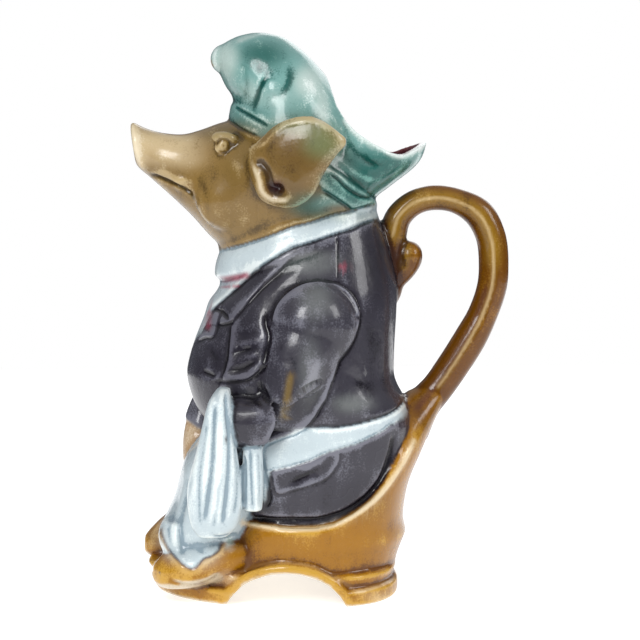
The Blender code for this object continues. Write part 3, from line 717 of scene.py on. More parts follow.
def lip_stations():
    return [
        (3, 0, 179.4, 21, 28, -20),
        (3.6, 0, 184.2, 23.6, 30, -18),
        (6.5, 0, 189, 28.3, 30.5, -12),
        (11, 0, 195.4, 34.9, 28.5, -4),
        (12.7, 0, 202, 37, 25.5, 3),
        (14, 0, 211, 38, 21.5, 6),
        (13, 0, 219, 34, 18.5, 6),
        (12, 0, 226, 30, 12.5, 6),
    ]


def make_hat():
    band = [
        (-8.8, 0, 187, 36.6, 36, -33),
        (-8, 0, 188.8, 38.4, 37.6, -33),
        (-5.6, 0, 193.8, 38.6, 37.8, -33),
        (-4.8, 0, 195.4, 36.8, 36.2, -33),
    ]
    loft("hat", "hat_band", band, power=2.1)
    loft("hat", "hat_crown", crown_stations(), power=2.1)
    loft("hat", "hat_lip", lip_stations(), power=2.0)
    ball("hat", "hat_knob", (-40.8, 0, 238.4), (7, 10, 6.8))


make_hat()
print("hat forms", len(forms["hat"]))

# %% [markdown]
# The handle is a rolled strap of clay, luted to the seat at its foot and to the pig's back at
# its head, where its end curls outward into a small scroll. It is thickest below, where the
# weight of a full pitcher pulls.

# %% Handle
HANDLE_LOW = 0.0074
HANDLE_MIDDLE = 0.0068
HANDLE_TOP = 0.0057
SCROLL_RADIUS = 0.0060
HANDLE_LINE = [
    ((43, 0, 69), HANDLE_LOW),
    ((48, 0, 82), HANDLE_LOW * 1.06),
    ((55, 0, 90.6), HANDLE_LOW),
    ((62, 0, 100.6), HANDLE_LOW),
    ((69.7, 0, 112.9), HANDLE_LOW),
    ((75.4, 0, 124.1), HANDLE_MIDDLE),
    ((79.5, 0, 136.7), HANDLE_MIDDLE),
    ((80.1, 0, 149), HANDLE_MIDDLE),
    ((78.5, 0, 159.8), HANDLE_MIDDLE),
    ((73, 0, 169.6), HANDLE_MIDDLE),
    ((63, 0, 175.2), HANDLE_TOP),
    ((52.5, 0, 176.7), HANDLE_TOP),
    ((43.4, 0, 174.2), HANDLE_TOP),
    ((36.6, 0, 168), HANDLE_TOP * 1.05),
    ((34.2, 0, 160), HANDLE_TOP * 1.08),
    ((33.4, 0, 150), HANDLE_TOP),
    ((34, 0, 141), HANDLE_TOP * 0.95),
    ((33.5, 0, 133), HANDLE_TOP * 0.75),
    ((31, 0, 126), HANDLE_TOP * 0.4),
]


def make_handle():
    scroll = [
        ((34.5, 0, 139), SCROLL_RADIUS * 0.8),
        ((38.4, 0, 144.4), SCROLL_RADIUS),
        ((41.4, 0, 149), SCROLL_RADIUS),
        ((41.6, 0, 151.6), SCROLL_RADIUS * 0.95),
    ]
    rope("handle", "handle", HANDLE_LINE)
    rope("handle", "scroll", scroll)
    ball("handle", "scroll_end", (41.6, 0, 150.6), (6, 7, 6.6))


make_handle()
print("handle forms", len(forms["handle"]))

# %% [markdown]
# Clay parts that touch become one skin. A voxel remesh does what a sponge and slip do on the
# real casting: it closes every joint between the forms. The little shells that overlapping
# forms enclose between them are dropped, and the skin is eased a little.

# %% Fuse the clay
CLAY_VOXEL = 0.0009
CLAY_EASING = 2
EASE_SHARE = 0.5


def fill_bubbles(obj):
    """Drops the small shells that forms enclose between them, and keeps the clay's skin."""
    bm = bmesh.new()
    bm.from_mesh(obj.data)
    seen = set()
    shells = []
    for start in bm.verts:
        if start in seen:
            continue
        seen.add(start)
        shell = [start]
        for vert in shell:
            for edge in vert.link_edges:
                other = edge.other_vert(vert)
                if other not in seen:
                    seen.add(other)
                    shell.append(other)
        shells.append(shell)
    for shell in sorted(shells, key=len)[:-1]:
        bmesh.ops.delete(bm, geom=shell, context="VERTS")
    bm.to_mesh(obj.data)
    bm.free()


def resurface(obj, voxel, smoothing):
    """An even grid of small faces over the clay, with its joints eased."""
    remesh = obj.modifiers.new("skin", "REMESH")
    remesh.mode = "VOXEL"
    remesh.voxel_size = voxel
    remesh.adaptivity = 0.0
    smooth = obj.modifiers.new("ease", "SMOOTH")
    smooth.factor = EASE_SHARE
    smooth.iterations = smoothing
    settle(obj)
    fill_bubbles(obj)


def fused(name, objects, voxel, smoothing):
    """One skin round overlapping forms, smoothed where they meet."""
    bm = bmesh.new()
    for form in objects:
        bm.from_mesh(form.data)
        bpy.data.objects.remove(form, do_unlink=True)
    mesh = bpy.data.meshes.new(name)
    bm.to_mesh(mesh)
    bm.free()
    obj = bpy.data.objects.new(name, mesh)
    bpy.context.scene.collection.objects.link(obj)
    resurface(obj, voxel, smoothing)
    return obj


part_trees = {}
for part, objects in forms.items():
    bm = bmesh.new()
    for form in objects:
        bm.from_mesh(form.data)
    part_trees[part] = BVHTree.FromBMesh(bm)
    bm.free()

clay_forms = [obj for objects in forms.values() for obj in objects]
forms.clear()
pitcher = fused("pig_pitcher", clay_forms, CLAY_VOXEL, CLAY_EASING)
print("clay", len(pitcher.data.vertices), "points")

# %% [markdown]
# A slip casting is hollow: the liquid clay stiffens against the mould to an even wall, and
# the rest is poured out. The same lofts, drawn in by the wall, make a second, smaller body,
# and cutting that out leaves a wall of even thickness. The hat's lip is thinner than the rest.

# %% The hollow
CORE_VOXEL = 0.0018
CORE_EASING = 4
WALL = 0.0050
LIP_WALL = 0.0036


def make_core():
    loft("core", "core_torso", torso_stations(), power=2.3, inset=WALL)
    loft("core", "core_hips", hip_stations(), power=2.3, inset=WALL)
    loft("core", "core_neck", neck_stations(), power=2.1, inset=WALL)
    loft("core", "core_head", head_stations()[4:], power=2.1, inset=WALL)
    loft("core", "core_crown", crown_stations()[:-1], power=2.1, inset=WALL)
    loft("core", "core_lip", lip_stations()[1:], power=2.0, inset=LIP_WALL)
    return fused("core", forms.pop("core"), CORE_VOXEL, CORE_EASING)


core = make_core()
inside_tree = BVHTree.FromObject(core, bpy.context.evaluated_depsgraph_get())
print("core", len(core.data.vertices), "points")

# %% [markdown]
# The pitcher fills and pours through the hat, which is open behind the crown. Its rim is
# highest along the middle and dips at the sides, so the cutter blends between two outlines,
# the crest and the dip, from one side of the figure to the other.

# %% The mouth behind the crown
def make_mouth():
    """Everything above the rim of the hat's open back, which dips at the sides."""
    crest = [(2.4, 238), (3.4, 231), (5.4, 224.5), (7.5, 217.6), (11.5, 210.9), (16, 206.3)]
    crest += [(22.4, 202), (31.8, 199), (38.4, 200.6), (45.3, 201.2), (52, 202)]
    dip = [(2.4, 238), (3.4, 231), (5, 224.5), (7.1, 217.2), (11.2, 210.4), (15.5, 205.7)]
    dip += [(22.4, 200.9), (31.2, 196.6), (36, 195), (41, 196.6), (47, 200)]
    outer = [(90, 220), (90, 270), (2, 270)]
    shares = [(-60, 1), (-26, 1), (-18, 0.9), (-9, 0.35), (0, 0), (9, 0.2), (18, 0.6), (60, 0.7)]
    rings = []
    for y, share in shares:
        side = [(a + (c - a) * share, b + (d - b) * share) for (a, b), (c, d) in zip(crest, dip)]
        rings.append([at(x, y, z) for x, z in side + outer])
    return keep_form("cutters", "mouth", skin(rings, "mouth"))


make_mouth()
print("cutters", len(forms["cutters"]))

# %% [markdown]
# Underneath, the plinth is a ring that stands on the table round a recess in two steps, and
# the arches run through from side to side. A slab trims the feet, so the pitcher stands flat.

# %% The underside
FOOT_WALL = 0.0065  # width of the ring that stands on the table
FLOOR = 0.0055  # clay above the low recess
RECESS_DROP = 0.0012
HIGH_RECESS_LENGTH = 0.064
HIGH_RECESS_STEP = 0.0055
HIGH_RECESS_CENTRE_X = -0.008
HIGH_RECESS_POWER = 2.4
HIGH_RECESS_RINGS = ((0.06, 0), (0.7, 0.003), (1, 0.009))  # share of the rise, metres drawn in
LOW_RECESS_RINGS = ((0.7, 1), (0.93, 1.3), (1, 2.0))  # share of the rise, foot walls drawn in
TUNNEL_STEPS = 64
SLAB_REACH = 0.2
SLAB_DEPTH = 0.02


def make_underside():
    """The open recess below the plinth, the arches' tunnel and a slab that trims the feet."""
    low_top = PLATE_HEIGHT - FLOOR
    high_top = ARCH_RISE - RECESS_DROP
    rings = [plate_ring(-FLOOR, -FOOT_WALL)]
    rings += [plate_ring(low_top * share, -FOOT_WALL * walls) for share, walls in LOW_RECESS_RINGS]
    sides = len(rings[0])
    for share, narrowed in HIGH_RECESS_RINGS:
        depth = HIGH_RECESS_LENGTH / 2 - narrowed
        width = PLATE_HALF_WIDTH - FOOT_WALL - HIGH_RECESS_STEP - narrowed
        z = low_top + (high_top - low_top) * share
        ring = []
        for side in range(sides):
            a, b = superellipse(2 * math.pi * side / sides, HIGH_RECESS_POWER)
            ring.append(FIGURE_ZERO + Vector((HIGH_RECESS_CENTRE_X + a * depth, b * width, z)))
        rings.append(ring)
    keep_form("cutters", "recess", skin(rings, "recess"))
    line = arch_line(0, TUNNEL_STEPS)
    line += [(line[-1][0], -FLOOR), (line[0][0], -FLOOR)]
    tunnel = []
    for y in (-2 * PLATE_HALF_WIDTH, 2 * PLATE_HALF_WIDTH):
        tunnel.append([FIGURE_ZERO + Vector((x, y, z)) for x, z in line])
    keep_form("cutters", "arch", skin(tunnel, "arch"))
    corners = ((-1, -1), (1, -1), (1, 1), (-1, 1))
    low = [Vector((x * SLAB_REACH, y * SLAB_REACH, -SLAB_DEPTH)) for x, y in corners]
    high = [Vector((p.x, p.y, 0.0)) for p in low]
    keep_form("cutters", "floor_cutter", skin([low, high], "floor_cutter"))


make_underside()
print("cutters", len(forms["cutters"]))

# %% [markdown]
# Now the core and the cutters are taken out of the clay, one boolean each. The manifold
# solver is used, because it is quick and keeps a dense, closed mesh closed.

# %% Cut the clay
def cut_away(obj, cutter):
    cut = obj.modifiers.new("cut " + cutter.name, "BOOLEAN")
    cut.operation = "DIFFERENCE"
    cut.solver = "MANIFOLD"
    cut.object = cutter


for cutter in [core] + forms["cutters"]:
    cut_away(pitcher, cutter)
settle(pitcher)
for cutter in [core] + forms.pop("cutters"):
    bpy.data.objects.remove(cutter, do_unlink=True)
print("cut clay", len(pitcher.data.vertices), "points")

# %% [markdown]
# Cuts leave long, thin faces along their edges, and a tool can't press a fold into those. A
# second, finer remesh gives even faces everywhere and rounds the cut edges, as a wet sponge
# rounds them on the real rim.

# %% Even the surface for tooling
FINE_VOXEL = 0.00062
FINE_EASING = 3
resurface(pitcher, FINE_VOXEL, FINE_EASING)
print("fine clay", len(pitcher.data.vertices), "points")


# %% [markdown]
# Now the tooling. A line is drawn in the photograph's pixels and pressed into every point of
# clay that the camera sees there, along the clay's own normal. A groove is a soft dent that
# follows the line, a ledge lifts one side of the line and sinks the other, as an edge of
# cloth does. The far side gets the same lines mirrored, where it has the same clothes.

# %% Read the clay into arrays
INNER_REACH = 0.0016  # a point this near the core belongs to the inner wall
NORMAL_ROUNDS = 4


def mesh_arrays(obj):
    """Every point's place and normal."""
    count = len(obj.data.vertices)
    places = np.empty(count * 3)
    normals = np.empty(count * 3)
    obj.data.vertices.foreach_get("co", places)
    obj.data.vertex_normals.foreach_get("vector", normals)
    return places.reshape(-1, 3), normals.reshape(-1, 3)


def edge_arrays(obj):
    """Every edge as two point numbers, and how many edges meet at each point."""
    edges = np.empty(len(obj.data.edges) * 2, dtype=np.int64)
    obj.data.edges.foreach_get("vertices", edges)
    edges = edges.reshape(-1, 2)
    degree = np.bincount(edges.ravel(), minlength=len(obj.data.vertices)).astype(float)
    return edges, np.maximum(degree, 1)


def ease(values, edges, degree, rounds):
    """Averages values over each point's neighbours, several times."""
    columns = np.ascontiguousarray(values.reshape(len(values), -1).T)
    a, b = edges[:, 0], edges[:, 1]
    for _ in range(rounds):
        total = np.array([np.bincount(a, column[b], len(column)) for column in columns])
        total += np.array([np.bincount(b, column[a], len(column)) for column in columns])
        columns = 0.5 * columns + 0.5 * total / degree
    return np.ascontiguousarray(columns.T).reshape(values.shape)


places, normals = mesh_arrays(pitcher)
edges, degree = edge_arrays(pitcher)
soft_normals = ease(normals, edges, degree, NORMAL_ROUNDS)
soft_normals /= np.linalg.norm(soft_normals, axis=1)[:, None]
inner = np.array([inside_tree.find_nearest(Vector(p), INNER_REACH)[0] is not None for p in places])
print("inner wall points", int(inner.sum()))

# %% [markdown]
# A tool may only touch clay that the camera sees. So each side of the figure keeps its
# points' pixels and how squarely they face the camera; clay seen at a grazing angle is
# pressed less, and the inner wall not at all.

# %% The clay as the camera sees it
GRAZING = 0.05  # cosine at which a surface starts to count as seen
FACING_RANGE = 0.3


class Side:
    """One side of the clay as the photograph's camera would see it."""

    def __init__(self, flip):
        self.places = mirrored(places) if flip else places
        self.u, self.v = photo_points(self.places)
        look = self.places - np.array(camera_place)
        look /= np.linalg.norm(look, axis=1)[:, None]
        facing = soft_normals.copy()
        if flip:
            facing[:, 1] *= -1
        towards = -(facing * look).sum(axis=1)
        self.facing = np.clip((towards - GRAZING) / FACING_RANGE, 0, 1)
        self.facing[inner] = 0


near_side = Side(False)
far_side = Side(True)
print("points seen on the near side", int((near_side.facing > 0).sum()))

# %% [markdown]
# A tool's path is a few traced pixels. They are joined by the same soft curve as the lofts,
# and for every point near it the distance to the path is measured, and the side of it.

# %% Distances to a traced line
def line_distance(line, u, v):
    """Distance to an open line, and which side of it: positive on its left as drawn."""
    best = np.full(u.shape, 1e9)
    signed = np.zeros(u.shape)
    for (au, av), (bu, bv) in zip(line, line[1:]):
        du, dv = bu - au, bv - av
        t = np.clip(((u - au) * du + (v - av) * dv) / (du * du + dv * dv), 0, 1)
        gap = np.hypot(u - au - t * du, v - av - t * dv)
        closer = gap < best
        side = np.sign((u - au) * dv - (v - av) * du)
        signed[closer] = side[closer]
        best = np.minimum(best, gap)
    return best, signed


def smooth_line(line, steps=6):
    """A traced line with its corners rounded by the same blend as the lofts."""
    count = (len(line) - 1) * steps
    return [tuple(blend(line, i / steps)) for i in range(count + 1)]


def near_line(side, line, reach):
    """Indices of the points that a tool along a line can touch."""
    us = [p[0] for p in line]
    vs = [p[1] for p in line]
    inside = (side.u > min(us) - reach) & (side.u < max(us) + reach)
    inside &= (side.v > min(vs) - reach) & (side.v < max(vs) + reach) & (side.facing > 0)
    return np.nonzero(inside)[0]


print("pixels on a soft line", len(smooth_line([(0, 0), (1, 0), (1, 1)])))

# %% [markdown]
# A groove is a soft dent that follows the path, and with a negative depth it is a ridge. A
# ledge lifts one side of the path and sinks the other, as an edge of cloth does. A dab is a
# fingertip's dent. Each adds to one array of depths, so the tools can cross freely.

# %% Tools
MILLIMETRE = 0.001
TOOL_REACH = 3  # in tool widths: how far from its path a tool is felt
FADE_LENGTH = 4  # in groove widths: how far from its ends a groove reaches its full depth
UNDERCUT = 0.45  # share of a ledge's fall on its low side
LEDGE_FADE = 0.8
LEDGE_END = 0.15
press = np.zeros(len(places))  # metres pressed in, or lifted where negative


def side_of(which):
    return near_side if which == NEAR else far_side


def end_gap(side, index, line):
    """Distance in pixels from each point to the nearer end of a line."""
    ends = (line[0], line[-1])
    return np.minimum(*[np.hypot(side.u[index] - p[0], side.v[index] - p[1]) for p in ends])


def groove(line, width, depth, sides=BOTH, fade=True):
    """Presses a rounded line: width in pixels, depth in millimetres; negative depth lifts."""
    line = smooth_line(line)
    for side in map(side_of, sides):
        index = near_line(side, line, width * TOOL_REACH)
        gap, _ = line_distance(line, side.u[index], side.v[index])
        amount = np.exp(-((gap / width) ** 2))
        if fade:
            amount *= np.clip(end_gap(side, index, line) / (width * FADE_LENGTH), 0, 1)
        press[index] += depth * MILLIMETRE * amount * side.facing[index]


def channel(line, width, depth, sides=BOTH):
    """A groove that keeps its depth right to its ends."""
    groove(line, width, depth, sides, fade=False)


def ledge(line, fall, height, sides=BOTH):
    """An edge of cloth: the line's left side stands up, its right side is undercut."""
    line = smooth_line(line)
    for side in map(side_of, sides):
        index = near_line(side, line, fall * TOOL_REACH)
        gap, turn = line_distance(line, side.u[index], side.v[index])
        high, low = np.exp(-((gap / fall) ** 2)), np.exp(-((gap / (fall * UNDERCUT)) ** 2))
        lifted = np.where(turn > 0, high, low)
        taper = np.clip(end_gap(side, index, line) / (fall * LEDGE_FADE), LEDGE_END, 1)
        press[index] -= height * MILLIMETRE * (np.tanh(gap) * turn) * lifted * taper * side.facing[index]


def dab(centre, radius, depth, sides=BOTH, power=2):
    """Presses a round spot; negative depth lifts a boss."""
    for side in map(side_of, sides):
        index = near_line(side, [centre], radius * TOOL_REACH)
        gap = np.hypot(side.u[index] - centre[0], side.v[index] - centre[1]) / radius
        press[index] += depth * MILLIMETRE * np.exp(-(gap**power)) * side.facing[index]


def disc(centre, radius, depth, sides=BOTH):
    """A dab with a flat middle and a firm edge."""
    dab(centre, radius, depth, sides, power=4)


def press_marks(marks, sides=BOTH):
    """Runs a table of marks over the clay, in its order."""
    for _, tool, width, depth, line in marks:
        tool(line, width, depth, sides)
    print(len(marks), "marks, deepest now", round(1000 * press.max(), 2), "mm")


print("points to press", len(press))

# %% [markdown]
# Face first. The eye is a raised disc in a ring, under a brow; the mouth runs back along the
# snout under a full lip, and cheek folds hang behind it. None of these marks is deeper than
# two millimetres, so pressing them is easier than modelling them as forms of their own.

# %% Tool the face and ears
EAR_HOLLOW = [(260, 163), (265, 169), (268.5, 178), (271, 187), (279, 190.5)]
FACE_MARKS = [
    # what it is, tool, width in pixels, depth in millimetres, traced pixels
    ("mouth", groove, 1.7, 1.5, [
        (149.6, 174.5), (155.7, 176), (165.9, 180), (177, 185.7), (186.3, 190.3), (191.4, 193.9),
        (193.5, 198),
    ]),
    ("upper lip", groove, 4.0, -0.7, [(150, 169), (163, 172.5), (177, 177.5), (188, 182), (195, 186)]),
    ("fold behind the mouth", groove, 4.5, 0.5, [
        (197, 172), (200.5, 182), (203.7, 193), (206, 212), (211, 226),
    ]),
    ("cheek bone", groove, 6.0, -0.5, [(224, 152), (232, 160), (240, 171), (244, 186)]),
    ("jowl", groove, 7.0, -0.4, [(228, 196), (238, 204), (243, 214)]),
    ("upper eyelid", groove, 1.4, 0.6, [
        (216, 149), (217.5, 142), (223.5, 139), (229.5, 142), (231, 148),
    ]),
    ("lower eyelid", groove, 1.3, 0.4, [(231, 149), (227, 152.5), (221, 152), (216, 148)]),
    ("brow", groove, 3.2, -0.35, [(217, 138), (228, 134.7), (242.4, 142.9)]),
    ("eyeball", disc, 4.0, -0.5, (223.1, 145.9)),
    ("pupil", dab, 1.3, 0.5, (223.1, 145.9)),
    ("hollow of the ear", channel, 4.2, 1.7, EAR_HOLLOW),
    ("bottom of the ear", dab, 6.5, 2.0, (277, 189)),
    ("back of the ear", groove, 7.0, 0.5, [(285, 160), (292, 172), (294, 184)]),
    ("rim of the ear", groove, 2.8, -0.8, [
        (253.5, 166), (259, 179.6), (262, 191), (272, 199.5), (284.9, 200), (293, 194),
    ]),
    ("root of the ear", groove, 3.0, -0.5, [
        (253, 150), (266, 143), (280, 128), (297, 122), (315, 121.5), (332, 132),
    ]),
]
press_marks(FACE_MARKS)

# %% [markdown]
# The hat's cloth folds where the crown leans over, and grooves set off its band, in front and
# behind. Between the grooves, low ridges are lifted, because cloth that creases also swells.
# The collar is a plain band with sharp edges.

# %% Tool the hat and the collar
COLLAR_TOP = [
    (221, 250.2), (240.2, 245.8), (265.5, 237.8), (291, 227.6), (311.4, 222.4), (331.8, 215.3),
    (352.2, 210.7), (374.7, 204.1),
]
COLLAR_LOW = [
    (257, 268.9), (270.6, 260), (291, 248), (311.4, 241.8), (331.8, 234.7), (352.2, 228.6),
    (362.4, 223.5), (375.7, 218.9),
]
HAT_MARKS = [
    # what it is, tool, width in pixels, depth in millimetres, traced pixels
    ("fold under the knob", groove, 9.0, 1.2, [
        (241, 43), (246, 56), (261, 67.5), (275, 70), (287, 60),
    ]),
    ("front crease", groove, 3.2, 0.9, [(270, 74), (262, 84), (257, 96), (253, 112)]),
    ("long crease", groove, 5.0, 0.6, [(286, 62), (290, 74), (285, 88), (270, 104)]),
    ("short crease", groove, 5.0, 0.6, [(243, 68), (246, 84), (243, 100)]),
    ("ridge of the crown", groove, 7.0, -0.5, [(300, 70), (308, 86), (306, 104), (292, 116)]),
    ("ridge towards the lip", groove, 6.0, -0.5, [(318, 96), (330, 116), (346, 138), (366, 156)]),
    ("furrow towards the lip", groove, 5.0, 0.7, [(340, 128), (356, 150), (372, 162), (392, 166)]),
    ("ridge over the band", groove, 4.0, -0.5, [(336, 152), (348, 168), (366, 178), (384, 180)]),
    ("band in front, upper edge", groove, 1.7, 1.3, [(233.8, 106), (247.6, 114.3), (269, 126.5)]),
    ("band in front, lower edge", groove, 1.5, 1.1, [(230.7, 121.4), (242.4, 129.6), (258.8, 136.2)]),
    ("band behind, upper edge", groove, 1.8, 1.4, [
        (328.8, 173.5), (337, 177.6), (347, 187.8), (360.4, 196), (372.7, 198),
    ]),
    ("band behind, lower edge", groove, 1.6, 1.1, [(321.6, 189.8), (337, 200), (352.2, 210.2)]),
    ("collar's top", groove, 1.6, 1.0, COLLAR_TOP),
    ("collar's foot", groove, 1.6, 1.3, COLLAR_LOW),
]
press_marks(HAT_MARKS)

# %% [markdown]
# The jacket has wide lapels, two overlapping fronts and full sleeves. Each cloth edge is a
# ledge, and the folds between elbow and belly are broad grooves with ridges beside them.

# %% Tool the jacket and sleeve
JACKET_MARKS = [
    # what it is, tool, width in pixels, depth in millimetres, traced pixels
    ("front edge of the lapel", ledge, 8.0, 0.6, [
        (211.6, 310), (222.3, 300.2), (237.5, 286.8), (257, 269),
    ]),
    ("roll of the lapel", ledge, 7.0, 0.7, [
        (217.2, 324), (230.4, 321.6), (240.2, 310.9), (253.6, 295.7), (267, 281.4), (289.3, 261),
    ]),
    ("notch of the lapel", groove, 1.8, 1.0, [(211.6, 310), (221, 311), (230.4, 321.6)]),
    ("far front's edge", ledge, 6.0, 0.6, [
        (195.4, 342.3), (204.6, 337.4), (213, 336), (217.2, 324), (220, 311),
    ]),
    ("near front's edge", ledge, 7.0, 0.8, [
        (231.9, 324), (229.8, 345), (228.4, 359), (224.9, 373), (222, 380.2),
    ]),
    ("near front's hem", ledge, 7.0, 0.9, [
        (222, 380.2), (239.6, 380.2), (250.2, 377.3), (261.4, 368.2),
    ]),
    ("belly fold", groove, 4.0, 0.8, [(229, 356), (242, 351), (262, 346)]),
    ("upper belly fold", groove, 5.0, 0.5, [(228, 338), (244, 336), (262, 330)]),
    ("far front's fold", groove, 4.0, 0.7, [(206, 342), (214, 356), (222, 362)]),
    ("fold over the hem", groove, 3.4, 0.7, [(224, 372), (242, 369), (262, 358)]),
    ("far front's pleat", groove, 2.2, 1.1, [(201, 370), (209, 374), (217, 377)]),
    ("seam before the sleeve", groove, 2.6, 0.9, [
        (266.3, 310), (265.6, 324), (269, 336.7), (266.3, 352), (263.5, 366), (257.2, 375.2),
    ]),
    ("sleeve cap", ledge, 7.0, 0.55, [
        (359.5, 318), (357.9, 306.4), (352, 295.7), (344.6, 288.2), (336.3, 284), (326.4, 282.4),
        (316.4, 281.6), (303.2, 284), (290.7, 290.7), (280.8, 299.8), (275, 309.7), (271.7, 323),
    ]),
    ("dent in the sleeve cap", groove, 6.0, 0.5, [(286, 322), (292, 306), (304, 296)]),
    ("ridge of the sleeve", groove, 7.0, -0.4, [(300, 400), (316, 372), (334, 348)]),
    ("crook of the sleeve", groove, 6.0, 0.5, [(280, 352), (292, 362), (300, 380)]),
    ("back of the sleeve", ledge, 7.0, 0.7, [
        (243.8, 447.3), (257, 445.5), (265.2, 443.8), (282.4, 437.4), (294.9, 433.6),
        (304.4, 427.8), (313, 420.2), (319.7, 409.7), (326.4, 396.3), (328, 389.3), (331.4, 379.4),
        (334.7, 370.3), (338, 361), (344.6, 353), (351.3, 343.7), (357, 330.5), (359.5, 318),
    ]),
    ("cuff fold", groove, 3.6, 1.3, [(258, 380), (264, 394), (273, 409)]),
    ("upper cuff crease", groove, 3.4, 0.5, [(240, 396), (254, 398), (268, 404)]),
    ("lower cuff crease", groove, 3.4, 0.8, [(240, 404), (256, 402), (270, 412)]),
    ("shoulder seam", groove, 1.8, 0.45, [(338, 232), (338, 250), (338.4, 284)]),
    ("chest fold", groove, 5.0, 0.6, [(262, 292), (282, 274), (306, 262)]),
    ("long fold of the back", groove, 9.0, 0.5, [(366, 300), (372, 340), (368, 380)]),
    ("waist fold", groove, 7.0, 0.5, [(346, 366), (360, 384), (380, 396)]),
    ("jacket's hem", ledge, 5.0, 0.8, [
        (403.9, 402), (398.2, 408.7), (389.6, 414.4), (375, 420.2), (356, 425), (337, 427.8),
        (316.9, 427.8),
    ]),
]
press_marks(JACKET_MARKS)

# %% [markdown]
# The apron's strings are tied behind, so a band and the side of its bow cross the hips. The
# trousers end in a deep groove along the seat, whose rim is lifted to catch the light.

# %% Tool the apron strings, trousers and seat
SEAT_LINE = [
    (413.5, 441.2), (403.9, 461.3), (389.6, 483.3), (375.2, 499.6), (356, 513.9), (337, 523.5),
    (317.8, 527.8), (309.8, 528.5), (285.6, 528.5), (261.4, 526), (243.2, 523),
]
BAND_FOOT = [
    (392.5, 423), (382.9, 430.7), (370.4, 437.4), (356, 444), (341.7, 447.9), (327.4, 452.7),
    (308.3, 461.3), (289, 467), (270, 471),
]
HIP_MARKS = [
    # what it is, tool, width in pixels, depth in millimetres, traced pixels
    ("foot of the band", ledge, 5.0, 0.55, BAND_FOOT),
    ("edge of the bow", ledge, 5.0, 0.4, [
        (271.9, 471.8), (276.7, 492.9), (293.9, 490), (313, 484.3), (326.4, 478.5), (335, 469),
        (338.9, 459.4), (338.9, 451.7),
    ]),
    ("fold of the bow", groove, 4.0, 0.5, [(284, 484), (304, 476), (322, 466)]),
    ("ridge of the bow", groove, 3.0, -0.4, [(296, 472), (312, 466), (330, 457)]),
    ("trouser fold", groove, 8.0, 0.4, [(352, 468), (362, 480), (360, 494)]),
    ("under the trousers", groove, 2.4, 1.6, [
        (394.4, 433.6), (392.5, 447), (388.6, 461.3), (383.8, 473.8), (377, 485.2), (365.7, 497.7),
        (351.3, 508.2), (337, 514.9), (317.8, 519.7), (298.7, 520.2), (270, 519.7), (252.4, 516.7),
    ]),
    ("rim of the seat", groove, 2.0, -0.5, SEAT_LINE),
]
press_marks(HIP_MARKS)

# %% [markdown]
# The napkin's long folds taper towards its top, and the apron falls in softer ones to its
# corner. The napkin hangs on the near arm alone, so these marks aren't mirrored.

# %% Tool the napkin, apron and shoes
NEAR_ONLY = (NEAR,)
APRON_HEM = [
    (160.7, 530), (161.5, 536), (167.9, 549), (174.8, 557.4), (182.4, 565), (190.1, 569.6),
    (196.2, 568), (203.9, 559.7), (211.5, 556.6), (219.2, 550.5), (221.5, 542.9),
]
NAPKIN_MARKS = [
    # what it is, tool, width in pixels, depth in millimetres, traced pixels
    ("napkin's back fold", groove, 2.6, 1.1, [
        (228, 388), (227, 410), (229.5, 440), (228.5, 470), (225.5, 500), (222, 526),
    ]),
    ("napkin's middle fold", groove, 2.8, 1.1, [
        (215, 402), (213.5, 430), (212.5, 460), (209, 489), (204, 524),
    ]),
    ("napkin's ridge", groove, 2.8, -0.5, [(221.5, 394), (220, 430), (219, 470), (215, 520)]),
    ("napkin's front fold", groove, 3.0, 0.6, [(208, 416), (203, 445), (199, 480), (200, 528)]),
    ("napkin's back edge", groove, 3.0, 0.6, [(232, 420), (237, 455), (238, 490), (233, 520)]),
    ("pleat at the napkin's foot", groove, 2.2, 0.5, [(219, 480), (217, 505), (213, 530)]),
    ("gap before the bunch", groove, 1.8, 2.0, [
        (240.2, 452), (243.8, 462.5), (244.6, 489), (244.6, 507),
    ]),
    ("bunch, first fold", groove, 2.4, 0.7, [(250, 446), (251, 480), (253, 514)]),
    ("bunch, second fold", groove, 2.4, 0.5, [(258, 446), (260, 480), (260, 512)]),
    ("bunch, back edge", groove, 1.8, 0.9, [(262.5, 460), (267, 480), (270, 500), (264, 508)]),
    ("apron's long fold", groove, 3.4, 0.7, [(192, 469.6), (186, 496), (180, 524), (184, 560)]),
    ("apron's corner fold", groove, 3.0, 0.5, [(196, 540), (200, 550), (212, 554)]),
    ("apron's front fold", groove, 3.0, 0.6, [(181, 478), (175, 505), (168, 530), (172, 552)]),
    ("napkin's foot", groove, 1.8, 1.0, [(211.6, 533.9), (219.6, 537.5), (239.3, 533)]),
    ("shoe's sole", groove, 2.4, 0.5, [(166, 579), (180.9, 584), (198, 585), (212, 579), (224, 570)]),
    ("apron's hem", ledge, 5.0, 0.4, APRON_HEM[::-1]),
]
press_marks(NAPKIN_MARKS, NEAR_ONLY)

# %% [markdown]
# On the real casting a sponge has rubbed the mould's joints away, most of all where the
# sleeve and the cheek swell. Sponging moves each point of a patch towards the average of its
# neighbours, many times over. Then the marks are pressed in, so they stay crisp.

# %% Sponge the joints and press the marks
PATCH_REACH = 1.6  # in half sizes of the patch: how far points take part
PATCH_FADE = (1.25, 0.5)  # where the share starts to fall, and over what length
SPONGED = [
    # what it is, centre and half size in pixels, rounds, share
    ("cheek", (212, 198), (27, 34), 150, 1.0),
    ("sleeve", (306, 388), (38, 44), 160, 1.0),
    ("elbow", (316, 392), (24, 26), 200, 1.0),
    ("napkin's top", (222, 392), (9, 12), 60, 1.0),
    ("root of the ear", (251, 160), (9, 22), 60, 0.8),
    ("trousers", (352, 450), (40, 40), 40, 1.0),
]


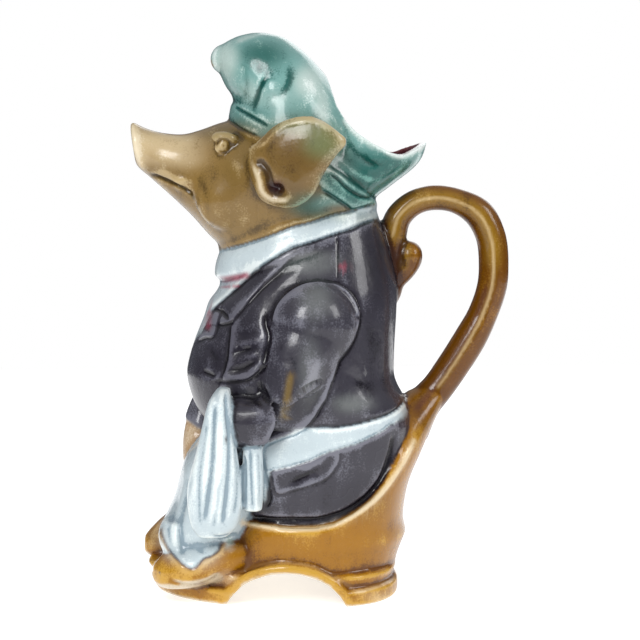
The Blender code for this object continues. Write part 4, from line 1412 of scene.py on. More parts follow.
def soften(centre, reach, rounds, strength):
    """Sponges an oval patch; reach is its half width and half height in pixels."""
    for side in map(side_of, BOTH):
        gap = np.hypot((side.u - centre[0]) / reach[0], (side.v - centre[1]) / reach[1])
        chosen = (gap < PATCH_REACH) & (side.facing > 0)
        index = np.nonzero(chosen)[0]
        slot = np.full(len(places), -1)
        slot[index] = np.arange(len(index))
        local = slot[edges[chosen[edges].all(axis=1)]]
        count = np.maximum(np.bincount(local.ravel(), minlength=len(index)), 1)
        eased = ease(places[index], local, count, rounds)
        share = strength * np.clip((PATCH_FADE[0] - gap[index]) / PATCH_FADE[1], 0, 1)
        places[index] += (eased - places[index]) * share[:, None]


for _, centre, reach, rounds, strength in SPONGED:
    soften(centre, reach, rounds, strength)
pitcher_places = places - soft_normals * press[:, None]
pitcher.data.vertices.foreach_set("co", pitcher_places.ravel())
pitcher.data.update()
print("deepest mark", round(1000 * press.max(), 2), "mm")

# %% [markdown]
# Majolica glaze runs thin over edges, where the pale clay shows through, and pools in
# hollows, where it turns deep and dark. So the glaze needs to know how hollow each point is.
# Comparing every point with the average of its neighbours, near and far, gives that.

# %% How hollow every point is
FINE_ROUNDS = 6
FINE_DEPTH = 0.00010  # metres below the average that count as a full hollow
BROAD_ROUNDS = 60
BROAD_DEPTH = 0.0009
PRESSED_DEPTH = 0.0015
FINE_SHARE = 0.55
BROAD_SHARE = 0.6
PRESSED_RANGE = (-0.4, 0.6)


def hollows(rounds):
    eased = ease(pitcher_places, edges, degree, rounds)
    return ((eased - pitcher_places) * soft_normals).sum(axis=1)


fine_hollow = np.clip(hollows(FINE_ROUNDS) / FINE_DEPTH, -1, 1)
broad_hollow = np.clip(hollows(BROAD_ROUNDS) / BROAD_DEPTH, -1, 1)
pressed = np.clip(press / PRESSED_DEPTH, *PRESSED_RANGE)
relief = FINE_SHARE * fine_hollow + BROAD_SHARE * broad_hollow + pressed
relief = np.clip(ease(relief, edges, degree, 2), -1, 1)
print("hollow share", round(float((relief > 0.3).mean()), 3))

# %% [markdown]
# Tooling needs small faces everywhere, but a library piece should stay light. The Decimate
# modifier merges faces where the clay is plain. The hollowness that was measured on the fine
# clay is then looked up for every point that is left.

# %% Fewer faces where the clay is plain
GLAZED_TRIANGLES = 192000
fine_tree = KDTree(len(pitcher_places))
for i, place in enumerate(pitcher_places):
    fine_tree.insert(place, i)
fine_tree.balance()
total = sum(len(p.vertices) - 2 for p in pitcher.data.polygons)
thin = pitcher.modifiers.new("thin", "DECIMATE")
thin.ratio = GLAZED_TRIANGLES / total
thin.use_collapse_triangulate = True
settle(pitcher)
places, normals = mesh_arrays(pitcher)
places = np.clip(places, solid_low, solid_high)
pitcher.data.vertices.foreach_set("co", places.ravel())
nearest = np.array([fine_tree.find(place)[1] for place in places])
relief = relief[nearest]
inner = inner[nearest]
soft_normals = normals
near_side = Side(False)
far_side = Side(True)
print("triangles", len(pitcher.data.polygons), "inside", int(inner.sum()), "points")

# %% [markdown]
# Every glaze is three colours: its own, the deep one of its pools and the thin one of its
# edges. They are chosen against the photograph, as screen colours, and turned into the
# linear values that a shader works in.

# %% The glazes
GLAZE_COLOURS = {
    # name: own colour, pooled, thin over an edge
    "ochre": ((134, 106, 56), (82, 62, 26), (188, 164, 118)),
    "teal": ((114, 160, 154), (16, 86, 80), (204, 226, 220)),
    "ice": ((194, 207, 211), (142, 160, 170), (228, 237, 236)),
    "aubergine": ((56, 54, 62), (22, 19, 26), (112, 112, 122)),
    "amber": ((102, 60, 0), (60, 26, 0), (150, 104, 28)),
    "honey": ((158, 106, 4), (102, 58, 0), (200, 154, 60)),
    "umber": ((98, 74, 34), (66, 46, 18), (150, 124, 82)),
    "gold": ((148, 112, 28), (78, 52, 4), (214, 180, 104)),
    "treacle": ((88, 50, 0), (58, 24, 0), (116, 72, 10)),
    "straw": ((206, 184, 144), (150, 120, 70), (228, 214, 186)),
    "olive": ((98, 80, 36), (66, 50, 16), (140, 122, 80)),
    "moss": ((108, 126, 88), (58, 88, 60), (168, 180, 150)),
    "deep teal": ((10, 82, 74), (4, 58, 50), (90, 150, 138)),
    "milk": ((222, 230, 222), (150, 170, 160), (240, 242, 238)),
    "cream": ((232, 206, 158), (186, 140, 70), (244, 230, 200)),
    "rose": ((160, 52, 76), (112, 24, 44), (190, 110, 124)),
    "mustard": ((136, 110, 50), (96, 74, 24), (170, 150, 96)),
    "plum": ((32, 29, 38), (14, 11, 18), (76, 74, 84)),
    "flesh": ((176, 146, 112), (112, 80, 50), (208, 188, 160)),
    "maroon": ((74, 34, 40), (40, 16, 22), (110, 60, 64)),
    "clay": ((196, 180, 152), (140, 120, 92), (218, 204, 180)),
}


def srgb(colour):
    """A screen colour, 0 to 255, as linear values."""
    return np.array([((c / 255 + 0.055) / 1.055) ** 2.4 if c > 10 else c / 3294 for c in colour])


GLAZES = {name: [srgb(colour) for colour in three] for name, three in GLAZE_COLOURS.items()}
names = list(GLAZES)
print("glazes", len(names))

# %% [markdown]
# The places where one glaze meets the next are drawn on the photograph as closed lines. They
# follow the collar, the seams and the seat, so they share those traced pixels. Everything on
# the far side is read through its mirrored place.

# %% Glaze areas
HAT_AREA = [
    (200, 90), (214, 66), (190, 20), (440, 20), (440, 175), (395, 200), (376, 203), (352, 210.2),
    (337, 200), (321.6, 189.8), (318, 180), (300, 140), (258.8, 136.2), (242.4, 129.6),
    (230.7, 121.4), (225, 112),
]
COLLAR_AREA = [(205, 258)] + COLLAR_TOP + [(388, 199), (388, 215)] + COLLAR_LOW[::-1]
COLLAR_AREA += [(240, 273), (222, 276), (200, 276)]
SHIRT_AREA = [
    (190, 276), (222, 276), (240, 273), (257, 268.9), (237.5, 286.8), (222.3, 300.2), (211.6, 310),
    (203, 330), (190, 345), (170, 345),
]
ABOVE_COLLAR = [(100, 10), (450, 10), (450, 190), (388, 199)] + COLLAR_TOP[::-1]
ABOVE_COLLAR += [(205, 258), (100, 258)]
JACKET_EDGE = [
    (244, 447), (265.2, 443.8), (282.4, 437.4), (304.4, 427.8), (316.9, 427.8), (337, 427.8),
    (356, 425), (375, 420.2), (389.6, 414.4), (398.2, 408.7), (404, 402),
]
BAND_AREA = JACKET_EDGE + [(408, 412), (394, 424)] + BAND_FOOT + [(266, 500), (244, 500)]
JACKET_AREA = [(170, 345), (190, 345), (203, 330), (211.6, 310), (257, 268.9)] + COLLAR_LOW
JACKET_AREA += [(388, 215), (450, 300), (415, 400)] + JACKET_EDGE[::-1]
JACKET_AREA += [(231, 400), (196.4, 399.7), (186, 381), (170, 381)]
SEAT_AREA = [(420, 430)] + SEAT_LINE + [(243, 530), (225, 560), (200, 575), (130, 553)]
SEAT_AREA += [(130, 640), (480, 640), (480, 430)]
BUNCH_AREA = [(238, 471), (270, 471), (270, 505), (238, 505)]
APRON_TIP_AREA = APRON_HEM + [(221, 520), (161, 520)]


def in_area(area, u, v):
    """Which points lie inside a closed line of pixels."""
    inside = np.zeros(u.shape, dtype=bool)
    for (au, av), (bu, bv) in zip(area, area[1:] + area[:1]):
        crosses = (av > v) != (bv > v)
        with np.errstate(divide="ignore", invalid="ignore"):
            edge_u = au + (v - av) * (bu - au) / (bv - av)
        inside ^= crosses & (u < edge_u)
    return inside


u_near, v_near = photo_points(places)
u_far, v_far = photo_points(mirrored(places))
is_near = places[:, 1] < FIGURE_ZERO.y
u = np.where(is_near, u_near, u_far)
v = np.where(is_near, v_near, v_far)
print("points in the collar", int(in_area(COLLAR_AREA, u, v).sum()))

# %% [markdown]
# Some parts overlap in that view, such as the ear and the hat, or the handle and the back.
# There the nearest clay form decides, which is why the forms were filed by part.

# %% Which part a point belongs to
PART_REACH = 0.02
TOO_FAR = 1.0


def part_gaps(tree):
    """Distance from every point to one part's forms."""
    gaps = [tree.find_nearest(Vector(p), PART_REACH)[3] for p in places]
    return np.array([TOO_FAR if gap is None else gap for gap in gaps])


parts = list(part_trees)
part_of = np.array([part_gaps(part_trees[part]) for part in parts]).argmin(axis=0)


def is_part(*wanted):
    return np.isin(part_of, [parts.index(w) for w in wanted])


print("parts", {part: int(is_part(part).sum()) for part in parts})

# %% [markdown]
# The main coats go on in order, each over the ones before: seat, jacket, band, shirt, head,
# hat and collar by area, then the small parts by their forms. The inside is glazed maroon,
# and the underside stays bare clay, so that the pot doesn't stick to the kiln's shelf.

# %% The main coats
HANDLE_RELIEF = 0.3  # a rod is all ridge: without this it would all be thin
SOFT_RELIEF = 0.12
STANDING = 0.0004  # points below this height touch the table
ARCH_TOP = 0.017  # and below this one, points that face down are inside the foot
DOWNWARD = -0.5
on_far = places[:, 1] > 0
low = places[:, 2] < STANDING
under = low | ((places[:, 2] < ARCH_TOP) & (normals[:, 2] < DOWNWARD))
main_coats = [
    ("honey", in_area(SEAT_AREA, u, v)),
    ("aubergine", in_area(JACKET_AREA, u, v)),
    ("ice", in_area(BAND_AREA, u, v)),
    ("aubergine", in_area(BUNCH_AREA, u, v) & on_far),
    ("ice", in_area(SHIRT_AREA, u, v)),
    ("ochre", in_area(ABOVE_COLLAR, u, v)),
    ("teal", in_area(HAT_AREA, u, v)),
    ("ice", in_area(COLLAR_AREA, u, v)),
    ("honey", is_part("plinth", "seat", "near_shoe", "far_shoe")),
    ("ice", is_part("napkin", "apron")),
    ("amber", is_part("handle")),
    ("ochre", is_part("ear")),
    ("flesh", is_part("hand")),
    ("ice", in_area(APRON_TIP_AREA, u, v) & (places[:, 1] < 0)),
    ("aubergine", is_part("arm")),
    ("maroon", inner),
    ("clay", under & ~inner),
]
area = np.full(len(places), names.index("aubergine"))
for name, chosen in main_coats:
    area[chosen] = names.index(name)
relief[is_part("handle")] += HANDLE_RELIEF
relief[is_part("ear", "hat")] += SOFT_RELIEF
print({name: int((area == i).sum()) for i, name in enumerate(names) if (area == i).any()})

# %% [markdown]
# Glaze is brushed, so every later touch is a stroke along a traced line or a soft wash over
# an oval. Both move the three colours of the coat towards another glaze by some share.

# %% Lay the glazes on
edges, degree = edge_arrays(pitcher)
coats = []
for slot in range(3):
    table = np.array([GLAZES[name][slot] for name in names])
    coats.append(ease(table[area], edges, degree, 1))


def lay(index, name, weight):
    """Brushes a glaze over some points, thicker where its weight is higher."""
    for slot, coat in enumerate(coats):
        coat[index] += (GLAZES[name][slot] - coat[index]) * weight[:, None]


BRUSH_REACH = 2  # in brush widths


def stroke(line, width, name, strength, sides=BOTH):
    """A painted line along traced pixels."""
    line = smooth_line(line)
    for side in map(side_of, sides):
        index = near_line(side, line, width * BRUSH_REACH)
        gap, _ = line_distance(line, side.u[index], side.v[index])
        lay(index, name, strength * np.exp(-((gap / width) ** 3)) * side.facing[index])


def wash(centre, reach, name, strength, sides=BOTH):
    """A soft oval patch of glaze; reach is its half width and half height in pixels."""
    for side in map(side_of, sides):
        gap = np.hypot((side.u - centre[0]) / reach[0], (side.v - centre[1]) / reach[1])
        index = np.nonzero((gap < PATCH_REACH) & (side.facing > 0))[0]
        lay(index, name, strength * np.exp(-(gap[index] ** 3)) * side.facing[index])


def paint(touches, sides=BOTH):
    """Runs a table of touches over the glaze, in its order."""
    for _, brush, shape, size, name, strength in touches:
        brush(shape, size, name, strength, sides)
    print(len(touches), "touches of", len({touch[4] for touch in touches}), "glazes")


print("coats", len(coats))

# %% [markdown]
# Over the main coats the painter worked again: thicker teal in the hat's folds and under its
# brim, milky glaze on the knob and the lip, green that ran down below the ear, and brown that
# settled in the ear and about the mouth. Pale straw on the snout's top and end and milk on the
# crown's ridge are painted highlights, and the straw along the ear's rim is partly one. The
# touches stand in tables, so that one can be moved or thinned without reading the rest. The
# mouth of the hat is done between the two, because only the far wall, seen over the near rim,
# is dark.

# %% Paint the head and the hat
HEAD_PAINT = [
    # what it is, brush, traced pixels, size in pixels, glaze, share
    ("fold under the knob", wash, (263, 54), (25, 15), "deep teal", 0.85),
    ("front of the crown", wash, (250, 92), (10, 13), "milk", 0.3),
    ("middle of the crown", wash, (284, 98), (18, 10), "milk", 0.12),
    ("under the lip", wash, (366, 180), (24, 16), "deep teal", 0.9),
    ("band behind", wash, (350, 199), (20, 9), "deep teal", 0.75),
    ("band in front", wash, (250, 116), (16, 9), "deep teal", 0.45),
    ("furrow towards the lip", wash, (357, 158), (26, 11), "deep teal", 0.6),
    ("throat of the lip", wash, (392, 168), (30, 17), "deep teal", 0.9),
    ("end of the band", wash, (332, 186), (18, 14), "deep teal", 0.5),
    ("knob", wash, (225, 60), (13, 20), "milk", 0.5),
    # painted highlight: milk where the crown's ridge catches the light
    ("ridge of the crown", wash, (308, 82), (15, 16), "milk", 0.55),
    ("side of the crown", wash, (322, 106), (8, 18), "milk", 0.45),
    ("beside the front crease", wash, (268, 100), (16, 10), "milk", 0.15),
    # painted highlight: straw on the snout's lit top
    ("bridge of the snout", wash, (166, 141), (36, 15), "straw", 0.85),
    ("side of the snout", wash, (176, 158), (28, 13), "straw", 0.6),
    # painted highlight: straw at the snout's end
    ("end of the snout", wash, (141, 150), (9, 24), "straw", 0.6),
    ("forehead", wash, (232, 132), (34, 12), "olive", 0.75),
    ("temple", wash, (246, 150), (12, 16), "olive", 0.3),
    ("ear", wash, (300, 154), (40, 36), "umber", 0.8),
    ("lower ear", wash, (288, 194), (26, 16), "umber", 0.85),
    ("jowl", wash, (240, 196), (24, 30), "umber", 0.25),
    ("lip", wash, (162, 172), (26, 9), "umber", 0.35),
    ("cheek", wash, (236, 165), (18, 26), "olive", 0.25),
    ("top edge of the ear", wash, (300, 127), (30, 9), "moss", 0.5),
    ("back edge of the ear", wash, (322, 143), (20, 16), "moss", 0.65),
    ("run below the ear", wash, (312, 206), (24, 13), "deep teal", 0.85),
    ("edge of the run", wash, (332, 203), (18, 9), "teal", 0.5),
    ("under the ear", wash, (286, 200), (24, 6), "olive", 0.4),
    ("drop on the collar", wash, (337, 209), (13, 5), "amber", 0.5),
    ("hollow of the ear", stroke, EAR_HOLLOW, 3.4, "umber", 0.8),
    ("bottom of the ear", wash, (275.5, 187.5), (8, 7), "maroon", 0.95),
    # partly glaze thin over the rim, partly a painted highlight along it
    ("rim of the ear", stroke, [
        (253.5, 166), (259, 179.6), (262, 191), (272, 199.5), (284.9, 200),
    ], 2.0, "straw", 0.6),
]
EDGE_PAINT = [
    # what it is, brush, traced pixels, size in pixels, glaze, share
    ("rim of the snout", stroke, [(131.7, 126.5), (134.3, 143.9), (141.4, 167.3)], 2.6, "cream", 0.5),
    ("front crease", stroke, [(264, 80), (258, 94), (253.6, 112)], 2.2, "deep teal", 0.7),
    ("between the band's edges", stroke, [(326, 178), (345, 194), (374, 203)], 6.0, "deep teal", 0.6),
    ("long crease", stroke, [(288, 70), (291, 84), (280, 100)], 2.0, "deep teal", 0.4),
    ("short crease", stroke, [(243, 66), (247, 84), (243, 100)], 2.4, "deep teal", 0.3),
    ("mouth", stroke, [(149.6, 174.5), (165.9, 180), (186.3, 190.3), (193.5, 198)], 1.6, "olive", 0.8),
    ("upper side of the lip", stroke, [
        (344, 121), (353, 131.7), (368.4, 142.4), (389, 151.6),
    ], 2.6, "milk", 0.5),
    ("edge of the lip", stroke, [
        (389, 151.6), (399, 155.4), (406.6, 153.2), (424, 146),
    ], 3.6, "milk", 0.75),
    ("top of the crown", stroke, [
        (239, 39.9), (262.8, 32.2), (282.7, 36.8), (299.5, 49.1),
    ], 3.0, "milk", 0.35),
]
LIP_INSIDE = [(372, 146), (425, 145)]
LIP_REACH = 14
LIP_BEYOND = 0.003  # metres past the middle: the far wall, seen over the rim
LIP_TURNED = -0.1
paint(HEAD_PAINT)
lip = near_line(near_side, LIP_INSIDE, LIP_REACH)
lip = lip[(places[lip, 1] > LIP_BEYOND) & (soft_normals[lip, 1] < LIP_TURNED)]
lay(lip, "maroon", np.ones(len(lip)))
paint(EDGE_PAINT)

# %% [markdown]
# The clothes get their small marks: red bars and a cord at the throat, a pink mark on the
# shoulder and an ochre bar on the sleeve. The plum washes are painted shade, laid where the
# jacket is darkest, and plum specks are dotted here and there. A little milk goes where the
# glaze ran thin over the swelling of the cloth, at the hem and the forearm, and the milk on
# the shoulder by the collar and on the sleeve cap is a painted highlight.

# %% Paint the clothes
CLOTHES_PAINT = [
    # what it is, brush, traced pixels, size in pixels, glaze, share
    ("bar at the throat", stroke, [(217, 280.5), (232, 278.5), (246, 275.5)], 3.4, "rose", 0.85),
    ("lower bar", stroke, [(214.7, 287.7), (238.4, 285.9)], 1.5, "rose", 0.75),
    ("cord down the shirt", stroke, [
        (217.9, 278.3), (214.3, 288.6), (213.4, 294.8), (208.9, 310.9), (200, 328.8),
    ], 1.3, "rose", 0.6),
    ("fob", stroke, [(208.5, 313), (208, 327)], 3.2, "rose", 0.55),
    ("mark on the shoulder", stroke, [(340.5, 267), (348.5, 268)], 2.6, "rose", 0.7),
    ("bar on the sleeve", stroke, [(290.5, 377), (284, 416)], 3.8, "mustard", 0.6),
    ("under the collar", wash, (352, 217), (24, 7), "moss", 0.3),
    # painted shade: these plum washes, down to the trousers, darken the jacket where it is shaded
    ("belly", wash, (240, 345), (30, 42), "plum", 0.9),
    ("lapel", wash, (262, 290), (30, 22), "plum", 0.5),
    ("back of the shoulder", wash, (368, 262), (24, 46), "plum", 0.75),
    ("far front", wash, (208, 372), (20, 22), "plum", 0.6),
    ("cuff", wash, (252, 420), (16, 24), "plum", 0.4),
    ("trousers", wash, (360, 500), (30, 22), "plum", 0.3),
    ("jacket's hem", wash, (352, 404), (20, 9), "milk", 0.16),
    ("forearm", wash, (310, 372), (12, 34), "milk", 0.1),
    # painted highlights: milk where the shoulder by the collar and the sleeve cap catch the light
    ("chest", wash, (310, 262), (30, 12), "milk", 0.14),
    ("sleeve cap", wash, (316, 300), (16, 20), "milk", 0.12),
]
SPECKS = ((225.9, 439.3), (212.9, 473.2), (159.5, 572.7), (306, 233), (347, 377), (281, 349))
SPECK_SIZE = (1.3, 1.3)
paint(CLOTHES_PAINT)
paint([("speck", wash, speck, SPECK_SIZE, "plum", 0.9) for speck in SPECKS])

# %% [markdown]
# Honey glaze broke to cream on the seat's rim and on the rolls, and the seat's rim also gets a
# painted highlight. The handle is dark at its foot and gold over its upper bend; part of that
# gold and a cream line down its middle are painted highlights, and its inner side gets painted
# shade over its pooled glaze. Its traced line comes from the rope's own points, so the strokes
# stay on the strap.

# %% Paint the seat, the shoes and the handle
UNDER_HANDLE = (-6, 3)
handle_u, handle_v = photo_points(np.array([at(*row[0]) for row in HANDLE_LINE]))
handle_trace = list(zip(handle_u, handle_v))
handle_inside = [(a + UNDER_HANDLE[0], b + UNDER_HANDLE[1]) for a, b in handle_trace[1:7]]
SEAT_PAINT = [
    # what it is, brush, traced pixels, size in pixels, glaze, share
    # partly glaze that broke thin on the rim, partly a painted highlight along it
    ("rim of the seat", stroke, SEAT_LINE, 3.0, "cream", 0.65),
    ("roll over the arch", stroke, [
        (225, 584.8), (249, 568.5), (285.6, 562.4), (321.9, 569.7), (353.4, 589.7),
    ], 2.0, "cream", 0.2),
    ("end of the foot band", stroke, [(357, 592), (376.5, 586), (393.4, 578.8)], 2.2, "cream", 0.4),
    ("foot band", wash, (377, 597), (14, 5), "cream", 0.3),
    ("foot of the handle", wash, (426, 408), (22, 28), "treacle", 0.95),
    # partly gold glaze, partly a painted highlight on the lit upper bend
    ("upper half of the handle", stroke, handle_trace[7:15], 8.0, "gold", 0.7),
    # painted highlight: gold down the handle's middle
    ("middle of the handle", stroke, handle_trace[2:10], 3.4, "gold", 0.35),
    # painted highlight: a cream line down the handle's middle
    ("painted highlight along the handle", stroke, handle_trace[2:15], 1.6, "cream", 0.45),
    # pooled glaze with painted shade on the side that faces into the loop
    ("inner edge of the handle", stroke, handle_inside, 3.0, "maroon", 0.35),
    ("edge of the sole", stroke, [(201, 584), (223, 588)], 3.0, "amber", 0.6),
    ("mark by the arch", wash, (227, 577), (9, 7), "flesh", 0.6),
    ("mark on the far shoe", wash, (156, 536), (8, 10), "flesh", 0.5),
    ("drip below the napkin", wash, (229.5, 543), (4, 7), "milk", 0.8),
]
APRON_PAINT = [
    # what it is, brush, traced pixels, size in pixels, glaze, share
    ("corner of the apron", wash, (196, 544), (24, 20), "ice", 0.9),
    ("front of the apron", wash, (170, 530), (10, 24), "ice", 0.8),
    ("hem of the apron", stroke, APRON_HEM, 1.8, "amber", 0.7),
]
LAST_PAINT = [
    # what it is, brush, traced pixels, size in pixels, glaze, share
    ("curled end of the handle", stroke, [(404, 238), (406, 250), (403, 266)], 5.0, "gold", 0.7),
    ("shade on the far shoe", wash, (155, 537), (9, 12), "umber", 0.5),
]
paint(SEAT_PAINT)
paint(APRON_PAINT, NEAR_ONLY)
paint(LAST_PAINT)

# %% [markdown]
# The colours are kept on the clay's points, as attributes that a material can read. That
# needs no image and no unwrapping, and the mesh is fine enough to carry every edge.

# %% Store the glazes on the clay
for layer, coat in zip(("glaze", "glaze_deep", "glaze_thin"), coats):
    attribute = pitcher.data.color_attributes.new(layer, "FLOAT_COLOR", "POINT")
    rgba = np.ones((len(places), 4), dtype=np.float32)
    rgba[:, :3] = coat
    attribute.data.foreach_set("color", rgba.ravel())
attribute = pitcher.data.attributes.new("hollow", "FLOAT", "POINT")
attribute.data.foreach_set("value", relief.astype(np.float32))
print("coats", len(coats), "of", len(places), "points")

# %% [markdown]
# One glossy material carries all glazes. It mixes each place's three colours by how hollow
# the clay is, with streaky noise so that no edge is even, adds pits and specks, and leaves a
# slightly wavy, wet-looking surface.

# %% Helpers for materials
def add_node(tree, kind, **values):
    node = tree.nodes.new(kind)
    for name, value in values.items():
        setattr(node, name, value)
    return node


def noise(tree, coordinates, scale, detail=4.0, stretch=(1, 1, 1)):
    mapping = add_node(tree, "ShaderNodeMapping")
    mapping.inputs["Scale"].default_value = stretch
    tree.links.new(coordinates, mapping.inputs["Vector"])
    node = add_node(tree, "ShaderNodeTexNoise")
    node.inputs["Scale"].default_value = scale
    node.inputs["Detail"].default_value = detail
    tree.links.new(mapping.outputs["Vector"], node.inputs["Vector"])
    return node.outputs["Fac"]


def ramp(tree, value, low, high):
    node = add_node(tree, "ShaderNodeMapRange", interpolation_type="SMOOTHSTEP")
    node.inputs["From Min"].default_value = low
    node.inputs["From Max"].default_value = high
    tree.links.new(value, node.inputs["Value"])
    return node.outputs["Result"]


def math_node(tree, operation, a, b):
    node = add_node(tree, "ShaderNodeMath", operation=operation)
    for socket, value in zip(node.inputs, (a, b)):
        if isinstance(value, (int, float)):
            socket.default_value = value
        else:
            tree.links.new(value, socket)
    return node.outputs["Value"]


def mix_colour(tree, factor, a, b):
    node = add_node(tree, "ShaderNodeMix", data_type="RGBA", blend_type="MIX")
    if isinstance(factor, (int, float)):
        node.inputs["Factor"].default_value = factor
    else:
        tree.links.new(factor, node.inputs["Factor"])
    for name, value in (("A", a), ("B", b)):
        socket = [s for s in node.inputs if s.name == name and s.type == "RGBA"][0]
        if isinstance(value, tuple):
            socket.default_value = value
        else:
            tree.links.new(value, socket)
    return [s for s in node.outputs if s.type == "RGBA"][0]


def colour_layer(tree, name):
    return add_node(tree, "ShaderNodeAttribute", attribute_name=name).outputs["Color"]


helpers = (add_node, noise, ramp, math_node, mix_colour, colour_layer)
print("helpers", [helper.__name__ for helper in helpers])

# %% [markdown]
# Streaks, clouds and speckles of noise are added to the hollowness before it picks a colour.
# So the pools end raggedly, as brushed glaze does. The clouds also vary the gloss, and fine
# waves in the bump break the reflections of the windows.

# %% The glaze material
STREAKS = (150.0, 3.0, (1.0, 1.0, 0.22))  # of each noise: scale per metre, detail, stretch
CLOUDS = (38.0, 3.0)
SPECKLES = (1300.0, 2.0)
WAVES = (240.0, 4.0)
STREAK_SHARE = 1.5
CLOUD_SHARE = 1.5
SPECKLE_SHARE = 1.1
NOISE_MIDDLE = 2.02  # close to what the three add up to on average
CLOUD_ROUGHNESS = 0.5
POOL_FROM, POOL_TO = 0.05, 0.85
THIN_FROM, THIN_TO = -0.12, -0.85
GLAZE_SOCKETS = {
    "IOR": 1.45,
    "Specular IOR Level": 0.35,
    "Coat Weight": 0.25,
    "Coat Roughness": 0.06,
}
WAVE_STRENGTH = 0.3
WAVE_HEIGHT = 0.0007


def majolica_glaze():
    material = bpy.data.materials.new("majolica glaze")
    material.use_nodes = True
    tree = material.node_tree
    shader = tree.nodes["Principled BSDF"]
    coordinates = add_node(tree, "ShaderNodeTexCoord").outputs["Object"]
    hollow = add_node(tree, "ShaderNodeAttribute", attribute_name="hollow").outputs["Fac"]
    clouds = noise(tree, coordinates, *CLOUDS)
    streaked = math_node(tree, "MULTIPLY", noise(tree, coordinates, *STREAKS), STREAK_SHARE)
    clouded = math_node(tree, "MULTIPLY", clouds, CLOUD_SHARE)
    speckled = math_node(tree, "MULTIPLY", noise(tree, coordinates, *SPECKLES), SPECKLE_SHARE)
    uneven = math_node(tree, "ADD", streaked, clouded)
    uneven = math_node(tree, "ADD", uneven, speckled)
    uneven = math_node(tree, "SUBTRACT", uneven, NOISE_MIDDLE)
    depth = math_node(tree, "ADD", hollow, uneven)
    pool = ramp(tree, depth, POOL_FROM, POOL_TO)
    thin = ramp(tree, depth, THIN_FROM, THIN_TO)
    colour = mix_colour(tree, pool, colour_layer(tree, "glaze"), colour_layer(tree, "glaze_deep"))
    colour = mix_colour(tree, thin, colour, colour_layer(tree, "glaze_thin"))
    tree.links.new(colour, shader.inputs["Base Color"])
    roughness = math_node(tree, "MULTIPLY", clouds, CLOUD_ROUGHNESS)
    tree.links.new(roughness, shader.inputs["Roughness"])
    for socket, value in GLAZE_SOCKETS.items():
        shader.inputs[socket].default_value = value
    waves = noise(tree, coordinates, *WAVES)
    bump = add_node(tree, "ShaderNodeBump")
    bump.inputs["Strength"].default_value = WAVE_STRENGTH
    bump.inputs["Distance"].default_value = WAVE_HEIGHT
    tree.links.new(waves, bump.inputs["Height"])
    tree.links.new(bump.outputs["Normal"], shader.inputs["Normal"])
    return material


pitcher.data.materials.clear()
pitcher.data.materials.append(majolica_glaze())
pitcher.data.shade_smooth()
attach(pitcher, "root")
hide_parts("pitcher")
print("nodes in the glaze", len(pitcher.data.materials[0].node_tree.nodes))

# %% [markdown]
# The picture has no visible ground, only white, so the pitcher stands on a pale table that
# glows a little. The glow keeps the table's far edge from showing against the backdrop.

# %% Floor
FLOOR_SIZE = 1.8
FLOOR_SOCKETS = {
    "Base Color": (0.8, 0.8, 0.8, 1),
    "Roughness": 0.8,
    "Specular IOR Level": 0.1,
    "Emission Color": (1, 1, 1, 1),
    "Emission Strength": 0.6,
}


def make_floor():
    bpy.ops.mesh.primitive_plane_add(size=FLOOR_SIZE, location=(0, 0, 0))
    floor = bpy.context.active_object
    floor.name = "floor"
    material = bpy.data.materials.new("pale floor")
    material.use_nodes = True
    shader = material.node_tree.nodes["Principled BSDF"]
    for socket, value in FLOOR_SOCKETS.items():
        shader.inputs[socket].default_value = value
    floor.data.materials.append(material)


make_floor()
print("floor", FLOOR_SIZE, "m wide")

# %% [markdown]
# Two soft windows stand in front and one weak one behind. A glaze this glossy is read by
# what it reflects, so each lamp's size and place matter as much as its strength. Brightness
# is given as a mirror would show it, so a larger window also gives more light.

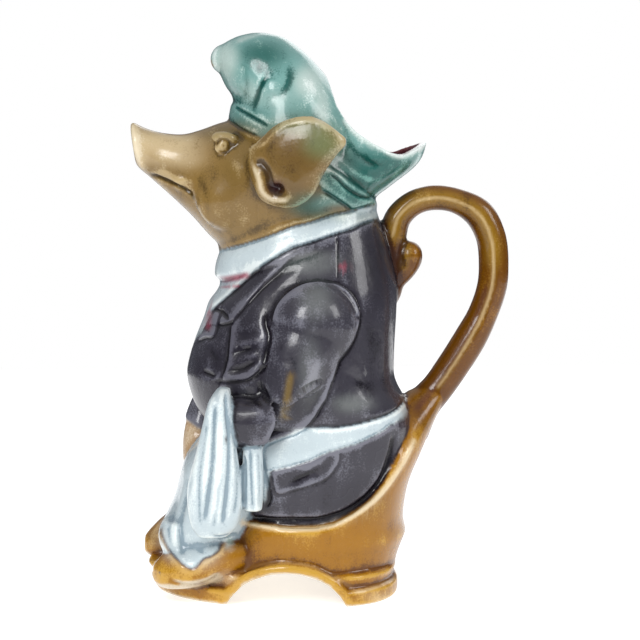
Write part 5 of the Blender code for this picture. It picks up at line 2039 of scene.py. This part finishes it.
# %% Windows
WINDOWS = (
    # name, place, width and height, brightness
    ("window_left", (-0.55, -1.0, 0.85), (0.42, 0.6), 13.0),
    ("window_right", (0.95, -0.5, 0.7), (0.35, 0.55), 8.0),
    ("window_back", (0.5, 1.2, 0.7), (1.0, 0.6), 1.6),
)
LIT_PLACE = Vector((0, 0, 0.13))


def make_window(name, place, size, brightness):
    """A soft window; brightness is what a mirror would show of it."""
    data = bpy.data.lights.new(name, "AREA")
    data.shape = "RECTANGLE"
    data.size, data.size_y = size
    data.energy = brightness * math.pi * size[0] * size[1]
    lamp = bpy.data.objects.new(name, data)
    lamp.location = place
    lamp.rotation_euler = (LIT_PLACE - Vector(place)).to_track_quat("-Z", "Y").to_euler()
    bpy.context.scene.collection.objects.link(lamp)


for window in WINDOWS:
    make_window(*window)
print("windows", len(WINDOWS))

# %% [markdown]
# The room is dim at eye level, where the jacket mirrors it, and bright overhead. The camera
# itself sees a white backdrop instead, as in the photograph: a Light Path node tells a ray
# from the camera apart from a ray that bounced.

# %% Room
EYE_LEVEL = (0.08, 0.085, 0.1, 1)
OVERHEAD = (0.55, 0.56, 0.58, 1)
OVERHEAD_FROM = 0.9
BACKDROP = (1, 1, 1, 1)


def make_room():
    room = bpy.data.worlds.new("room")
    bpy.context.scene.world = room
    room.use_nodes = True
    tree = room.node_tree
    light = tree.nodes["Background"]
    way = add_node(tree, "ShaderNodeTexCoord").outputs["Generated"]
    split = add_node(tree, "ShaderNodeSeparateXYZ")
    tree.links.new(way, split.inputs[0])
    height = ramp(tree, split.outputs["Z"], 0.0, OVERHEAD_FROM)
    tree.links.new(mix_colour(tree, height, EYE_LEVEL, OVERHEAD), light.inputs["Color"])
    light.inputs["Strength"].default_value = 1.0
    backdrop = add_node(tree, "ShaderNodeBackground")
    backdrop.inputs["Color"].default_value = BACKDROP
    seen = add_node(tree, "ShaderNodeLightPath").outputs["Is Camera Ray"]
    either = add_node(tree, "ShaderNodeMixShader")
    tree.links.new(seen, either.inputs[0])
    tree.links.new(light.outputs[0], either.inputs[1])
    tree.links.new(backdrop.outputs[0], either.inputs[2])
    tree.links.new(either.outputs[0], tree.nodes["World Output"].inputs["Surface"])


make_room()
bpy.context.scene.view_settings.view_transform = "Standard"
print("room", bpy.context.scene.world.name)
